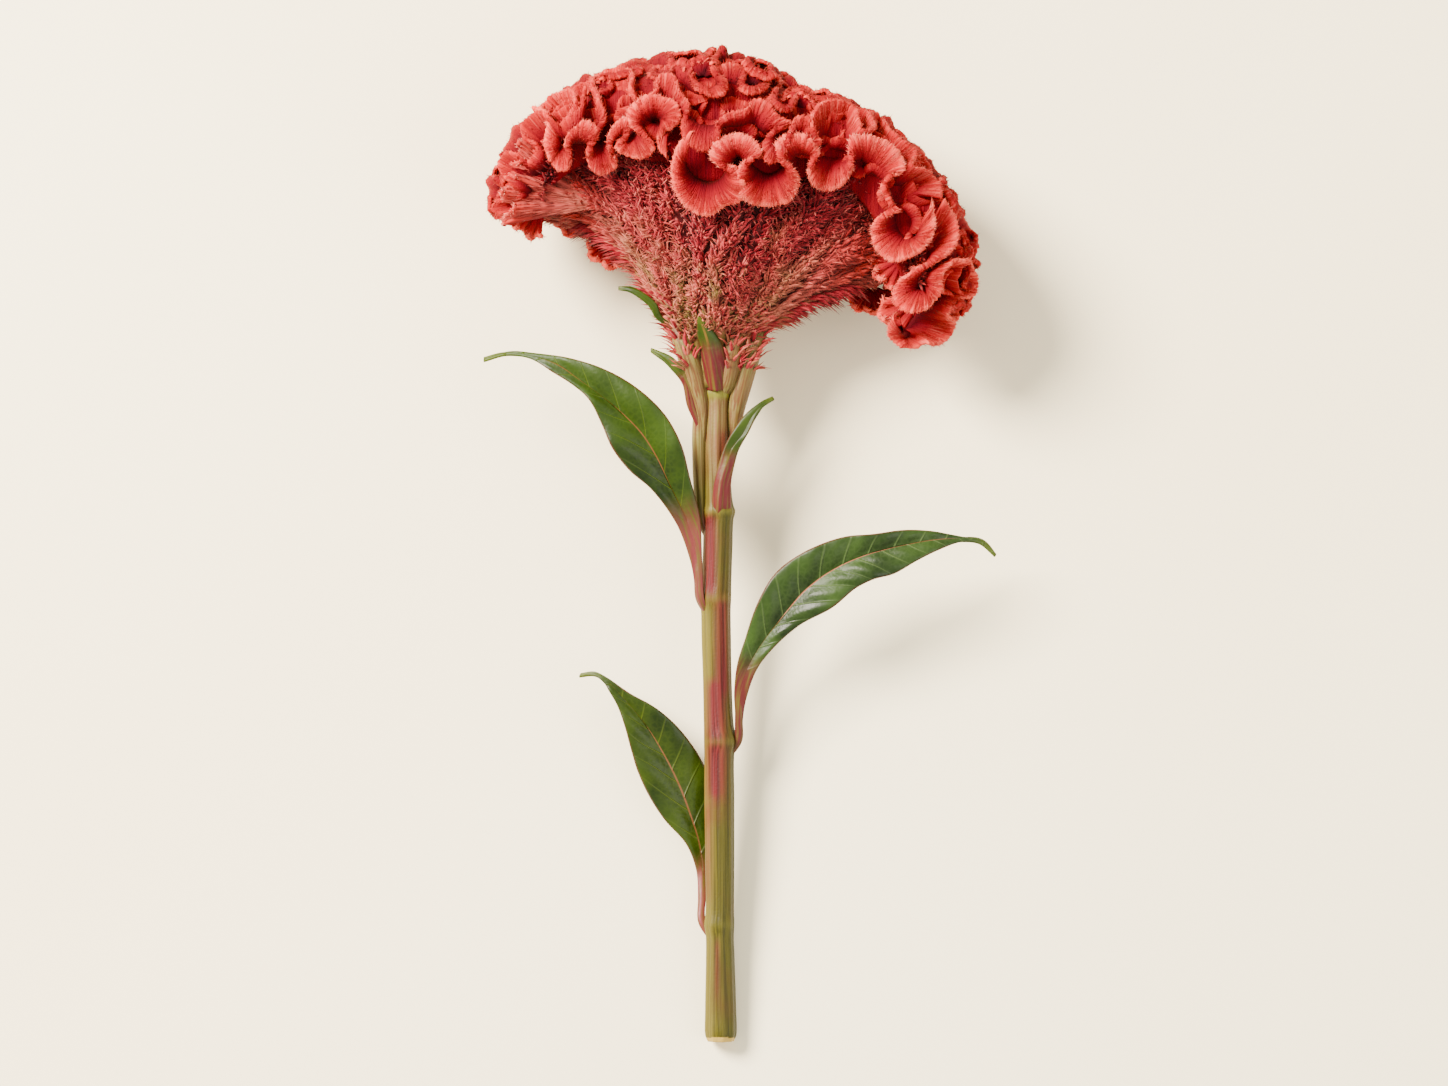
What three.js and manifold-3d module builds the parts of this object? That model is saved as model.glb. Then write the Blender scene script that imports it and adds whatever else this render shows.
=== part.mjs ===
// A cut cockscomb celosia stem, lying on its back on a flat surface.
// Millimetres, +Z up. The stem runs along +Y from its cut end to the flower head.
// The plant is drawn upright in its own plane (x right, y up the stem, z to the viewer),
// then one group lays it down so that the cut end and the back of the crest touch z = 0.
import * as THREE from 'three';
import Module from 'manifold-3d';
import { mergeVertices } from 'three/addons/utils/BufferGeometryUtils.js';

const wasm = await Module();
wasm.setup();

// Driving dimensions
const OVERALL_LENGTH = 298;
const GAP = 0.3;
const CREST_LIP_THICKNESS = 1.5;
const CREST_THROAT_THICKNESS = 2.2;
const CREST_RUFFLE_DEPTH = 10;
const CREST_LIP_LIFT = 3;
const HEAD_HALF_DEPTH = 35;
const HEAD_SEAT_HEIGHT = 262;
const HEAD_FLATTENING = 1.2;
const CUT_END_RADIUS = 4.65;
const SEAT_TRIM = 0.5;
const LEAF_THICKNESS = 0.8;
const FLORET_LENGTH = 6.5;
const FLORET_WIDTH = 2.6;
const FLORET_COUNT = 100;
const FLORET_ROOT = 1.4;
const SMOOTHING = 0.12;
// Corners closer than this touch, and draw back by this much
const TOUCH = 0.002;
const DRAW_BACK = 0.04;
const SEED = 9;

// The photograph's scale: its overall length in pixels, the stem's axis and the cut end
const PHOTO_LENGTH = 993;
const PHOTO_AXIS_X = 718;
const PHOTO_CUT_Y = 1041;
const MM_PER_PIXEL = OVERALL_LENGTH / PHOTO_LENGTH;

// Centre line of the crest from the left tuft to the right tuft:
// photograph x and y, then half height and half depth in millimetres
const CREST_ARCH = [
  [525, 226, 7, 14], [530, 190, 9, 19], [558, 152, 11.5, 24], [608, 127, 13.5, 29],
  [662, 125, 18.5, 33], [716, 134, 23, HEAD_HALF_DEPTH], [776, 144, 18.5, 34], [838, 152, 13, 30],
  [882, 184, 13, 27], [913, 226, 13.5, 25], [927, 270, 12.5, 22], [918, 310, 10, 18],
];

// The back of the crest hangs lower than its front
const BACK_DROP = 8;

// Rims of the front ruffles, traced from left to right in photograph x and y
const LOWER_LIPS_LEFT = [
  [541, 118], [550, 124], [555, 136], [553, 155], [562, 170], [571, 168], [571, 150], [578, 138],
  [591, 136], [598, 143], [592, 158], [595, 170], [606, 174], [616, 168], [612, 152], [618, 139],
  [628, 133], [628, 146], [621, 153], [630, 160], [645, 161], [652, 152], [643, 142], [635, 134],
  [636, 122], [646, 113], [662, 111], [674, 118], [675, 131], [665, 139], [661, 150], [668, 158],
];
const LOWER_LIPS_RIGHT = [
  [690, 150], [680, 162], [676, 180], [681, 200], [692, 213], [708, 218], [722, 211], [734, 207],
  [739, 194], [734, 181], [722, 176], [716, 168], [720, 158], [734, 151], [748, 154], [756, 165],
  [747, 171], [741, 184], [744, 199], [755, 207], [770, 208], [786, 202], [793, 189], [788, 176],
  [778, 168], [779, 156], [792, 149], [806, 152], [814, 163], [809, 174], [810, 184], [822, 191],
  [837, 188], [847, 176], [848, 160], [851, 150], [862, 149], [878, 154], [891, 165], [896, 178],
  [887, 183], [880, 194], [886, 208], [892, 216], [881, 221], [873, 233], [876, 249], [890, 260],
  [908, 256], [922, 244], [927, 228], [925, 214],
];
const RIGHT_TUFT_LIPS = [
  [936, 214], [946, 226], [948, 242], [940, 258], [926, 268], [912, 276], [899, 286], [896, 300],
  [908, 309], [924, 306], [934, 293], [934, 280], [942, 270], [956, 266], [966, 277], [966, 292],
  [954, 302], [944, 312], [946, 326], [934, 340], [918, 341], [906, 345], [894, 337], [894, 320],
];
const MIDDLE_LIPS = [
  [553, 116], [562, 106], [575, 106], [580, 116], [576, 130], [584, 143], [597, 142], [606, 128],
  [600, 112], [597, 96], [604, 84], [620, 80], [634, 87], [634, 102], [643, 112], [656, 104],
  [661, 91], [672, 90], [679, 104], [688, 118], [685, 134], [692, 148], [706, 154], [717, 146],
  [719, 134], [730, 127], [744, 123], [752, 115], [764, 117], [772, 128], [784, 134], [772, 142],
  [765, 152], [770, 166], [783, 160], [788, 144], [795, 132], [806, 133], [806, 146], [815, 152],
  [810, 138], [815, 123], [830, 116], [846, 118], [853, 130], [856, 142], [867, 138], [865, 126],
  [876, 128], [884, 140], [894, 152], [906, 162], [903, 176], [914, 179], [927, 187], [930, 202],
];
const UPPER_LIPS = [
  [600, 100], [612, 92], [608, 80], [618, 70], [634, 64], [650, 68], [654, 80], [668, 82],
  [676, 72], [690, 74], [694, 88], [702, 98], [720, 99], [724, 88], [714, 78], [730, 74],
  [743, 79], [742, 92], [750, 98], [764, 92], [766, 80], [778, 84], [774, 98], [773, 112],
  [786, 116], [794, 106], [797, 94], [810, 100], [812, 112], [828, 108], [834, 100], [848, 104],
  [856, 114], [868, 112], [878, 118], [884, 128], [896, 136], [908, 142], [918, 152], [914, 166],
];

// Meandering rows of ruffles over the top and the back of the crest: mean angle from the top
// (front is positive), start and end along the arch, length of one fold and sweep of the bends
const MEANDER_ROWS = [
  { angle: 24, from: 0.02, to: 0.99, fold: 43, bend: 1.65, step: 7.4 },
  { angle: -12, from: 0.03, to: 0.98, fold: 48, bend: 1.7, step: 8.2 },
  { angle: -46, from: 0.05, to: 0.97, fold: 50, bend: 1.7, step: 8.4 },
  { angle: -80, from: 0.03, to: 0.98, fold: 50, bend: 1.7, step: 8.4 },
  { angle: -113, from: 0.05, to: 0.98, fold: 46, bend: 1.6, step: 8 },
];
// The left tuft's own front row, where the fan curls over at its end
const LEFT_TUFT_ROW = { angle: 68, from: 0, to: 0.26, fold: 34, bend: 1.5, step: 5.4 };

const random = seededRandom(SEED);

function seededRandom(seed) {
  let state = seed;
  return () => {
    state = (state * 1664525 + 1013904223) % 4294967296;
    return state / 4294967296;
  };
}

function fromPhoto(px, py, z = 0) {
  return new THREE.Vector3((px - PHOTO_AXIS_X) * MM_PER_PIXEL, (PHOTO_CUT_Y - py) * MM_PER_PIXEL, z);
}

// Solids

function toManifold(geometry, tolerance = 1e-4) {
  const merged = mergeVertices(geometry, tolerance);
  return new wasm.Manifold(new wasm.Mesh({
    numProp: 3,
    vertProperties: new Float32Array(merged.attributes.position.array),
    triVerts: new Uint32Array(merged.index.array),
  }));
}

function toGeometry(solid) {
  const mesh = solid.getMesh();
  const geometry = new THREE.BufferGeometry();
  geometry.setAttribute('position', new THREE.BufferAttribute(mesh.vertProperties, 3));
  geometry.setIndex(new THREE.BufferAttribute(mesh.triVerts, 1));
  return geometry;
}

// A closed solid through rings of equal length. A chequered loft turns every second diagonal,
// so that every second corner can stand up as a point of its own
function loft(rings, chequered = false) {
  const count = rings[0].length;
  const points = rings.flat();
  const index = [];
  for (let row = 0; row + 1 < rings.length; row += 1) {
    for (let k = 0; k < count; k += 1) {
      const a = row * count + k;
      const b = row * count + (k + 1) % count;
      const turned = chequered && (row + k) % 2 === 0;
      const corners = turned
        ? [a, b, a + count, b, b + count, a + count]
        : [a, b, b + count, a, b + count, a + count];
      index.push(...corners);
    }
  }
  const last = (rings.length - 1) * count;
  capRing(index, 0, count, true);
  capRing(index, last, count, false);
  return closedSolid(new THREE.BufferGeometry().setFromPoints(points), index);
}

// The triangles are turned about where they would face inward
function closedSolid(geometry, index) {
  geometry.setIndex(index);
  const solid = toManifold(geometry);
  if (solid.volume() > 0) {
    return solid;
  }
  geometry.setIndex(index.reverse());
  return toManifold(geometry);
}

// Flat rings are capped as a ladder between their two long sides, alike on every ring
function capRing(index, first, count, turned) {
  for (let k = 0; k < count / 2 - 1; k += 1) {
    const a = first + k;
    const b = first + k + 1;
    const c = first + count - 2 - k;
    const d = first + count - 1 - k;
    const corners = turned ? [a, c, b, a, d, c] : [a, b, c, a, c, d];
    index.push(...corners);
  }
}

// Where two folds touch at a corner, each side's own corner draws back into its fold
function parted(geometry) {
  geometry.computeVertexNormals();
  const { position, normal } = geometry.attributes;
  const corners = new Map();
  for (let k = 0; k < position.count; k += 1) {
    const place = [position.getX(k), position.getY(k), position.getZ(k)];
    const key = place.map((value) => Math.round(value / TOUCH)).join();
    corners.set(key, [...(corners.get(key) ?? []), k]);
  }
  for (const touching of corners.values()) {
    for (const k of touching.length > 1 ? touching : []) {
      const corner = new THREE.Vector3().fromBufferAttribute(position, k);
      const inward = new THREE.Vector3().fromBufferAttribute(normal, k).multiplyScalar(-DRAW_BACK);
      position.setXYZ(k, ...corner.add(inward).toArray());
    }
  }
  return geometry;
}

function largestBody(solid) {
  const bodies = solid.decompose();
  bodies.sort((one, other) => other.volume() - one.volume());
  return bodies[0];
}

// The crest's dome, a swollen arch that the ruffles stand on

const archPath = new THREE.CatmullRomCurve3(CREST_ARCH.map(([px, py]) => fromPhoto(px, py)));
const archSizes = new THREE.CatmullRomCurve3(
  CREST_ARCH.map(([, , high, deep]) => new THREE.Vector3(high, deep, 0)),
);
const UNDERSIDE_TUCK = 0.35;
const ARCH_SAMPLES = 160;
const archFrames = [];
for (let k = 0; k <= ARCH_SAMPLES; k += 1) {
  archFrames.push(archFrame(k / ARCH_SAMPLES));
}

function archFrame(u) {
  const along = archPath.getTangent(u);
  const sizes = archSizes.getPoint(u);
  return {
    centre: archPath.getPoint(u),
    along,
    outward: new THREE.Vector3(-along.y, along.x, 0),
    high: sizes.x,
    deep: sizes.y,
  };
}

// Where a point lies against the arch: the frame beside it, its height and its reach past an end
function besideArch(point) {
  let best = archFrames[0];
  let least = Infinity;
  for (const frame of archFrames) {
    const distance = Math.hypot(point.x - frame.centre.x, point.y - frame.centre.y);
    if (distance < least) {
      least = distance;
      best = frame;
    }
  }
  const offset = new THREE.Vector3(point.x - best.centre.x, point.y - best.centre.y, 0);
  const rise = offset.dot(best.outward) + backDrop(point.z / best.deep);
  return { frame: best, rise, past: Math.abs(offset.dot(best.along)) };
}

function backDrop(depth) {
  return depth < 0 ? BACK_DROP * Math.min(depth ** 2, 1) : 0;
}

function domeDepth(point) {
  const { frame, rise, past } = besideArch(point);
  const tuck = rise > 0 ? 1 : UNDERSIDE_TUCK;
  const left = 1 - tuck * (rise / frame.high) ** 2 - (past / frame.high) ** 2;
  return frame.deep * Math.sqrt(Math.max(left, 0.05));
}

function domeNormal(point) {
  const { frame, rise } = besideArch(point);
  const tuck = rise > 0 ? 1 : UNDERSIDE_TUCK;
  const normal = frame.outward.clone().multiplyScalar(tuck * rise / frame.high ** 2);
  normal.z = point.z / frame.deep ** 2;
  return normal.normalize();
}

function domePoint(u, angle) {
  const frame = archFrame(u);
  const rise = Math.cos(angle);
  const depth = rise > 0 ? Math.sin(angle) : Math.sign(angle) * Math.sqrt(1 - UNDERSIDE_TUCK * rise ** 2);
  return crossPoint(frame, frame.high * rise, depth);
}

// A point of a cross-section: its height above the arch line and its share of the half depth
function crossPoint(frame, height, depth) {
  const point = frame.centre.clone().addScaledVector(frame.outward, height - backDrop(depth));
  return point.setZ(frame.deep * depth);
}

// Rims

function tracedRim(pixels) {
  const points = pixels.map(([px, py]) => {
    const point = fromPhoto(px, py);
    point.z = domeDepth(point) + CREST_LIP_LIFT;
    return point;
  });
  return new THREE.CatmullRomCurve3(points, false, 'centripetal');
}

const POINTS_PER_FOLD = 12;
const DRIFT_PULL = 0.03;

function meanderRim({ angle, from, to, fold, bend }) {
  const archLength = archPath.getLength();
  const mean = THREE.MathUtils.degToRad(angle);
  const stride = fold / POINTS_PER_FOLD;
  const points = [];
  let travelled = from * archLength;
  let sideways = 0;
  let phase = random() < 0.5 ? Math.PI / 2 : Math.PI * 1.5;
  let reach = bend;
  while (travelled < to * archLength) {
    const u = THREE.MathUtils.clamp(travelled / archLength, 0, 1);
    const frame = archFrame(u);
    const girth = Math.max(frame.high, frame.deep) * 0.9;
    const narrow = THREE.MathUtils.clamp(frame.deep / 28, 0.55, 1);
    const point = domePoint(u, mean + sideways / girth);
    points.push(point.addScaledVector(domeNormal(point), CREST_LIP_LIFT));
    const heading = reach * Math.sin(phase) - sideways * DRIFT_PULL;
    travelled += stride * narrow * Math.cos(heading);
    sideways += stride * narrow * Math.sin(heading);
    const half = Math.floor(phase / Math.PI);
    phase += 2 * Math.PI / POINTS_PER_FOLD;
    if (Math.floor(phase / Math.PI) > half) {
      reach = bend * (0.86 + 0.28 * random());
    }
  }
  return new THREE.CatmullRomCurve3(points, false, 'centripetal');
}

// A ruffle is a ribbon from a smooth hidden root line out to its winding rim
const RIBBON_LEVELS = [0.1, 0.62, 1];
const FLARE = 1.8;
const ROOT_WINDOW = 14;

function ruffle(curve, step) {
  const count = Math.max(6, Math.round(curve.getLength() / step));
  const rim = curve.getSpacedPoints(count);
  const reach = Math.round(ROOT_WINDOW / step);
  const root = smoothed(smoothed(rim, reach), reach).map((point) => {
    const normal = domeNormal(point);
    const { frame } = besideArch(point);
    return point.clone().addScaledVector(normal, -Math.min(CREST_RUFFLE_DEPTH, frame.high * 0.8));
  });
  const rows = rim.map((edge, k) => ribbonRow(root[k], edge));
  const rings = rows.map((row, k) => (
    thickenedRow(row, rows[Math.max(k - 1, 0)], rows[Math.min(k + 1, count)])
  ));
  const pieces = [];
  for (let k = 0; k < count; k += 1) {
    pieces.push(loft([rings[k], rings[k + 1]]));
  }
  return pieces;
}

function smoothed(points, reach) {
  return points.map((_, k) => {
    const sum = new THREE.Vector3();
    let share = 0;
    for (let j = Math.max(k - reach, 0); j <= Math.min(k + reach, points.length - 1); j += 1) {
      sum.add(points[j]);
      share += 1;
    }
    return sum.divideScalar(share);
  });
}

function ribbonRow(root, edge) {
  const normal = domeNormal(root);
  const span = edge.clone().sub(root);
  const up = normal.clone().multiplyScalar(span.dot(normal));
  const side = span.clone().sub(up);
  return RIBBON_LEVELS.map((t) => root.clone()
    .addScaledVector(up, Math.sin(Math.PI * t / 2))
    .addScaledVector(side, t ** FLARE));
}

function thickenedRow(row, before, after) {
  const front = [];
  const back = [];
  row.forEach((point, k) => {
    const along = after[k].clone().sub(before[k]);
    const up = row[Math.min(k + 1, row.length - 1)].clone().sub(row[Math.max(k - 1, 0)]);
    const normal = along.cross(up).normalize();
    const t = RIBBON_LEVELS[k];
    const half = THREE.MathUtils.lerp(CREST_THROAT_THICKNESS, CREST_LIP_THICKNESS, t) / 2;
    front.push(point.clone().addScaledVector(normal, half));
    back.push(point.clone().addScaledVector(normal, -half));
  });
  return [...back, ...front.reverse()];
}

// Crest

const CORE_SIDES = 14;
const CORE_STEPS = 18;
// Shares of the dome's half height and half depth
const CORE_HIGH = 0.74;
const CORE_DEEP = 0.84;

function crestCore() {
  const rings = [];
  for (let k = 0; k <= CORE_STEPS; k += 1) {
    const u = k / CORE_STEPS;
    const end = Math.min(u, 1 - u) * 9;
    const share = Math.sqrt(1 - (1 - Math.min(end, 1)) ** 2 * 0.8);
    rings.push(coreRing(archFrame(u), share));
  }
  return loft(rings);
}

function coreRing(frame, share) {
  const ring = [];
  for (let k = 0; k < CORE_SIDES; k += 1) {
    const turn = 2 * Math.PI * (k + 0.5) / CORE_SIDES;
    const height = frame.high * CORE_HIGH * share * Math.cos(turn);
    ring.push(crossPoint(frame, height, CORE_DEEP * share * Math.sin(turn)));
  }
  return ring.reverse();
}

const FRONT_STEP = 5.8;
const tracedRims = [LOWER_LIPS_LEFT, LOWER_LIPS_RIGHT, RIGHT_TUFT_LIPS, MIDDLE_LIPS, UPPER_LIPS];

function crestSolid() {
  const pieces = [crestCore()];
  for (const pixels of tracedRims) {
    pieces.push(...ruffle(tracedRim(pixels), FRONT_STEP));
  }
  for (const row of [...MEANDER_ROWS, LEFT_TUFT_ROW]) {
    pieces.push(...ruffle(meanderRim(row), row.step));
  }
  return wasm.Manifold.union(pieces);
}

// Flank: the flattened, fluted stalk that fans out below the crest and carries the florets

const FLANK_FOOT_Y = 196;
const FLANK_FOOT = { x: -2.4, wide: 6, deep: 4.6 };
const FLANK_SIDES = 52;
const FLANK_STEPS = 19;
const FLUTES = 9;
const FLUTE_DEPTH = 0.07;
// Share of the crest's half height and half depth that the fan's top reaches
const FAN_TOP_DROP = 0.45;
const FAN_TOP_DEPTH = 0.66;
const FAN_FROM = 0.03;
const FAN_TO = 0.9;
// The fan climbs before it spreads, most of all at its two sides
const FAN_SPREAD_POWER = 1.5;
const FAN_CLIMB_POWER = { left: 0.75, middle: 0.9, right: 0.5 };
const NECK_SWELL = 3;

// Scale-like bracts cover the fan between these shares of its height
const SCALE_HEIGHT = 2.8;
const SCALE_LEAN = 0.7;
const SCALES_FROM = 0.1;
const SCALES_TO = 0.86;

// A point of the fan's bare skin: turn runs round it, v from the foot to the top
function fanSkin(turn, v) {
  const across = Math.cos(turn);
  const u = THREE.MathUtils.lerp(FAN_FROM, FAN_TO, (1 - across) / 2);
  const frame = archFrame(u);
  const top = frame.centre.clone().addScaledVector(frame.outward, -frame.high * FAN_TOP_DROP);
  const flute = 1 + FLUTE_DEPTH * v * Math.cos(FLUTES * 2 * turn);
  const spread = v ** FAN_SPREAD_POWER;
  const sideClimb = across > 0 ? FAN_CLIMB_POWER.left : FAN_CLIMB_POWER.right;
  const climb = THREE.MathUtils.lerp(FAN_CLIMB_POWER.middle, sideClimb, Math.abs(across) ** 1.5);
  const swell = NECK_SWELL * across * THREE.MathUtils.smoothstep(v, 0, 0.2) * (1 - v);
  const x = THREE.MathUtils.lerp(FLANK_FOOT.x - across * FLANK_FOOT.wide, top.x, spread) - swell;
  const y = THREE.MathUtils.lerp(FLANK_FOOT_Y, top.y, v ** climb);
  const half = THREE.MathUtils.lerp(FLANK_FOOT.deep, frame.deep * FAN_TOP_DEPTH, v ** 1.25);
  return new THREE.Vector3(x, y, Math.sin(turn) * half * flute);
}

function fanNormal(turn, v) {
  const round = fanSkin(turn + 0.02, v).sub(fanSkin(turn - 0.02, v));
  const up = fanSkin(turn, Math.min(v + 0.01, 1)).sub(fanSkin(turn, Math.max(v - 0.01, 0)));
  return round.cross(up).normalize();
}

// The skin with its scales standing up and out, grown all round by a clearance
function fanPoint(turn, v, grow = 0, scale = 0) {
  const point = fanSkin(turn, v).addScaledVector(fanNormal(turn, v), scale + grow);
  point.y += SCALE_LEAN * scale;
  if (v === 0) {
    point.y -= grow;
  }
  if (v === 1) {
    point.y += grow;
  }
  return point;
}

function fanSolid(grow = 0) {
  const rings = [];
  for (let row = 0; row <= FLANK_STEPS; row += 1) {
    const v = row / FLANK_STEPS;
    const covered = THREE.MathUtils.smoothstep(v, SCALES_FROM, 0.3) * (v < SCALES_TO ? 1 : 0);
    const ring = [];
    for (let k = 0; k < FLANK_SIDES; k += 1) {
      const scale = (k + row) % 2 === 0 ? SCALE_HEIGHT * covered : 0;
      ring.push(fanPoint(2 * Math.PI * (k + 0.5) / FLANK_SIDES, v, grow, scale));
    }
    rings.push(ring);
  }
  return loft(rings, true);
}

// One floret: a three-sided bristle that leans up and out along the fan
function floret({ turn, v, lean, swing, length }, grow = 0) {
  const foot = fanSkin(turn, v);
  const up = fanSkin(turn, v + 0.04).sub(fanSkin(turn, v - 0.04)).normalize();
  const round = fanSkin(turn + 0.05, v).sub(fanSkin(turn - 0.05, v)).normalize();
  const out = fanNormal(turn, v);
  const reach = up.clone().addScaledVector(out, lean).addScaledVector(round, swing).normalize();
  const side = reach.clone().cross(out).normalize();
  const over = side.clone().cross(reach).normalize();
  const half = FLORET_WIDTH / 2 + grow;
  const base = foot.clone().addScaledVector(reach, -FLORET_ROOT);
  const corners = [-90, 30, 150].map((degrees) => {
    const angle = THREE.MathUtils.degToRad(degrees);
    const across = side.clone().multiplyScalar(half * Math.cos(angle));
    const outward = over.clone().multiplyScalar(half * Math.sin(angle));
    return base.clone().add(across).add(outward);
  });
  const tip = foot.clone().addScaledVector(reach, length + grow);
  const geometry = new THREE.BufferGeometry().setFromPoints([...corners, tip]);
  return closedSolid(geometry, [0, 2, 1, 0, 1, 3, 1, 2, 3, 2, 0, 3]);
}

const GOLDEN_TURN = Math.PI * (3 - Math.sqrt(5));
const FLORETS_FROM = 0.1;
const FLORETS_TO = 0.95;

// The fan with every floret that stays clear of the pieces round it
function flankSolid(neighbours) {
  const florets = [];
  for (let k = 0; k < FLORET_COUNT; k += 1) {
    const bristle = {
      turn: k * GOLDEN_TURN,
      v: THREE.MathUtils.lerp(FLORETS_FROM, FLORETS_TO, ((k + 0.5) / FLORET_COUNT) ** 0.7),
      lean: 0.5 + 0.5 * random(),
      swing: 0.5 * (random() - 0.5),
      length: FLORET_LENGTH * (0.75 + 0.45 * random()),
    };
    const room = floret(bristle, GAP);
    if (neighbours.every((solid) => room.intersect(solid).isEmpty())) {
      florets.push(floret(bristle));
    }
  }
  return wasm.Manifold.union([fanSolid(), ...florets]);
}

// Stem

const STEM_SIDES = 16;
const STEM_RIBS = 8;
const STEM_RIB_HEIGHT = 0.035;
const STEM_TOP_PIXEL = 389;
// Photograph height, stem axis and radius in millimetres, with a swelling at each node
const STEM_PROFILE = [
  [1041, 720.5, 3.9], [1035, 720.5, CUT_END_RADIUS], [1010, 720.3, CUT_END_RADIUS], [960, 720, 4.3],
  [935, 719.5, 4.1], [924, 719, 4.7], [912, 719.5, 4.2], [860, 719.5, 4.35], [800, 719, 4.5],
  [752, 719, 4.4], [741, 720, 5.1], [728, 718.5, 4.5], [680, 717, 4.3], [640, 716, 4.4],
  [608, 715.5, 4.5], [598, 715, 5], [586, 716, 4.5], [545, 717.5, 4.4], [520, 718, 4.5],
  [511, 718.5, 5], [503, 718, 4.3], [470, 716.5, 4], [430, 716, 3.9], [402, 716, 3.9],
  [393, 716, 4.3], [STEM_TOP_PIXEL, 716, 4.1],
];

function stemSolid(grow = 0) {
  const last = STEM_PROFILE.length - 1;
  const rings = STEM_PROFILE.map(([py, px, radius], row) => {
    const centre = fromPhoto(px, py);
    if (row === 0) {
      centre.y -= grow;
    }
    if (row === last) {
      centre.y += grow;
    }
    const ring = [];
    for (let k = 0; k < STEM_SIDES; k += 1) {
      const turn = 2 * Math.PI * k / STEM_SIDES;
      const girth = radius * (1 + STEM_RIB_HEIGHT * Math.cos(STEM_RIBS * turn)) + grow;
      ring.push(new THREE.Vector3(centre.x + girth * Math.cos(turn), centre.y, girth * Math.sin(turn)));
    }
    return ring;
  });
  return loft(rings);
}

// Leaves

// A leaf is lofted from stations along it. Each station holds one margin, the midrib and the
// other margin as photograph x and y, then the heights of the midrib and of both margins
const RIB_THICKNESS = 1.5;
const STALK_THICKNESS = 2.2;

function leafSolid({ stations, stalkEnd }) {
  const rings = stations.map(([ax, ay, mx, my, bx, by, middle, left, right], row) => {
    const one = fromPhoto(ax, ay, middle + left);
    const rib = fromPhoto(mx, my, middle);
    const other = fromPhoto(bx, by, middle + right);
    const thick = row < stalkEnd ? STALK_THICKNESS : RIB_THICKNESS;
    const edge = row < stalkEnd ? STALK_THICKNESS * 0.6 : LEAF_THICKNESS;
    const taper = row > stations.length - 3 ? LEAF_THICKNESS / thick : 1;
    const between = (LEAF_THICKNESS + thick * taper) / 2;
    const across = [
      [one, edge],
      [swollen(one, rib), between],
      [rib, thick * taper],
      [swollen(rib, other), between],
      [other, edge],
    ];
    const upper = across.map(([point, height]) => point.clone().setZ(point.z + height / 2));
    const lower = across.map(([point, height]) => point.clone().setZ(point.z - height / 2));
    return [...upper, ...lower.reverse()];
  });
  return loft(rings);
}

// Halfway between two points of a blade, which bulges a little between its ribs
const BLADE_BULGE = 0.09;

function swollen(one, other) {
  const middle = one.clone().add(other).multiplyScalar(0.5);
  middle.z += BLADE_BULGE * one.distanceTo(other);
  return middle;
}

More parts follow.
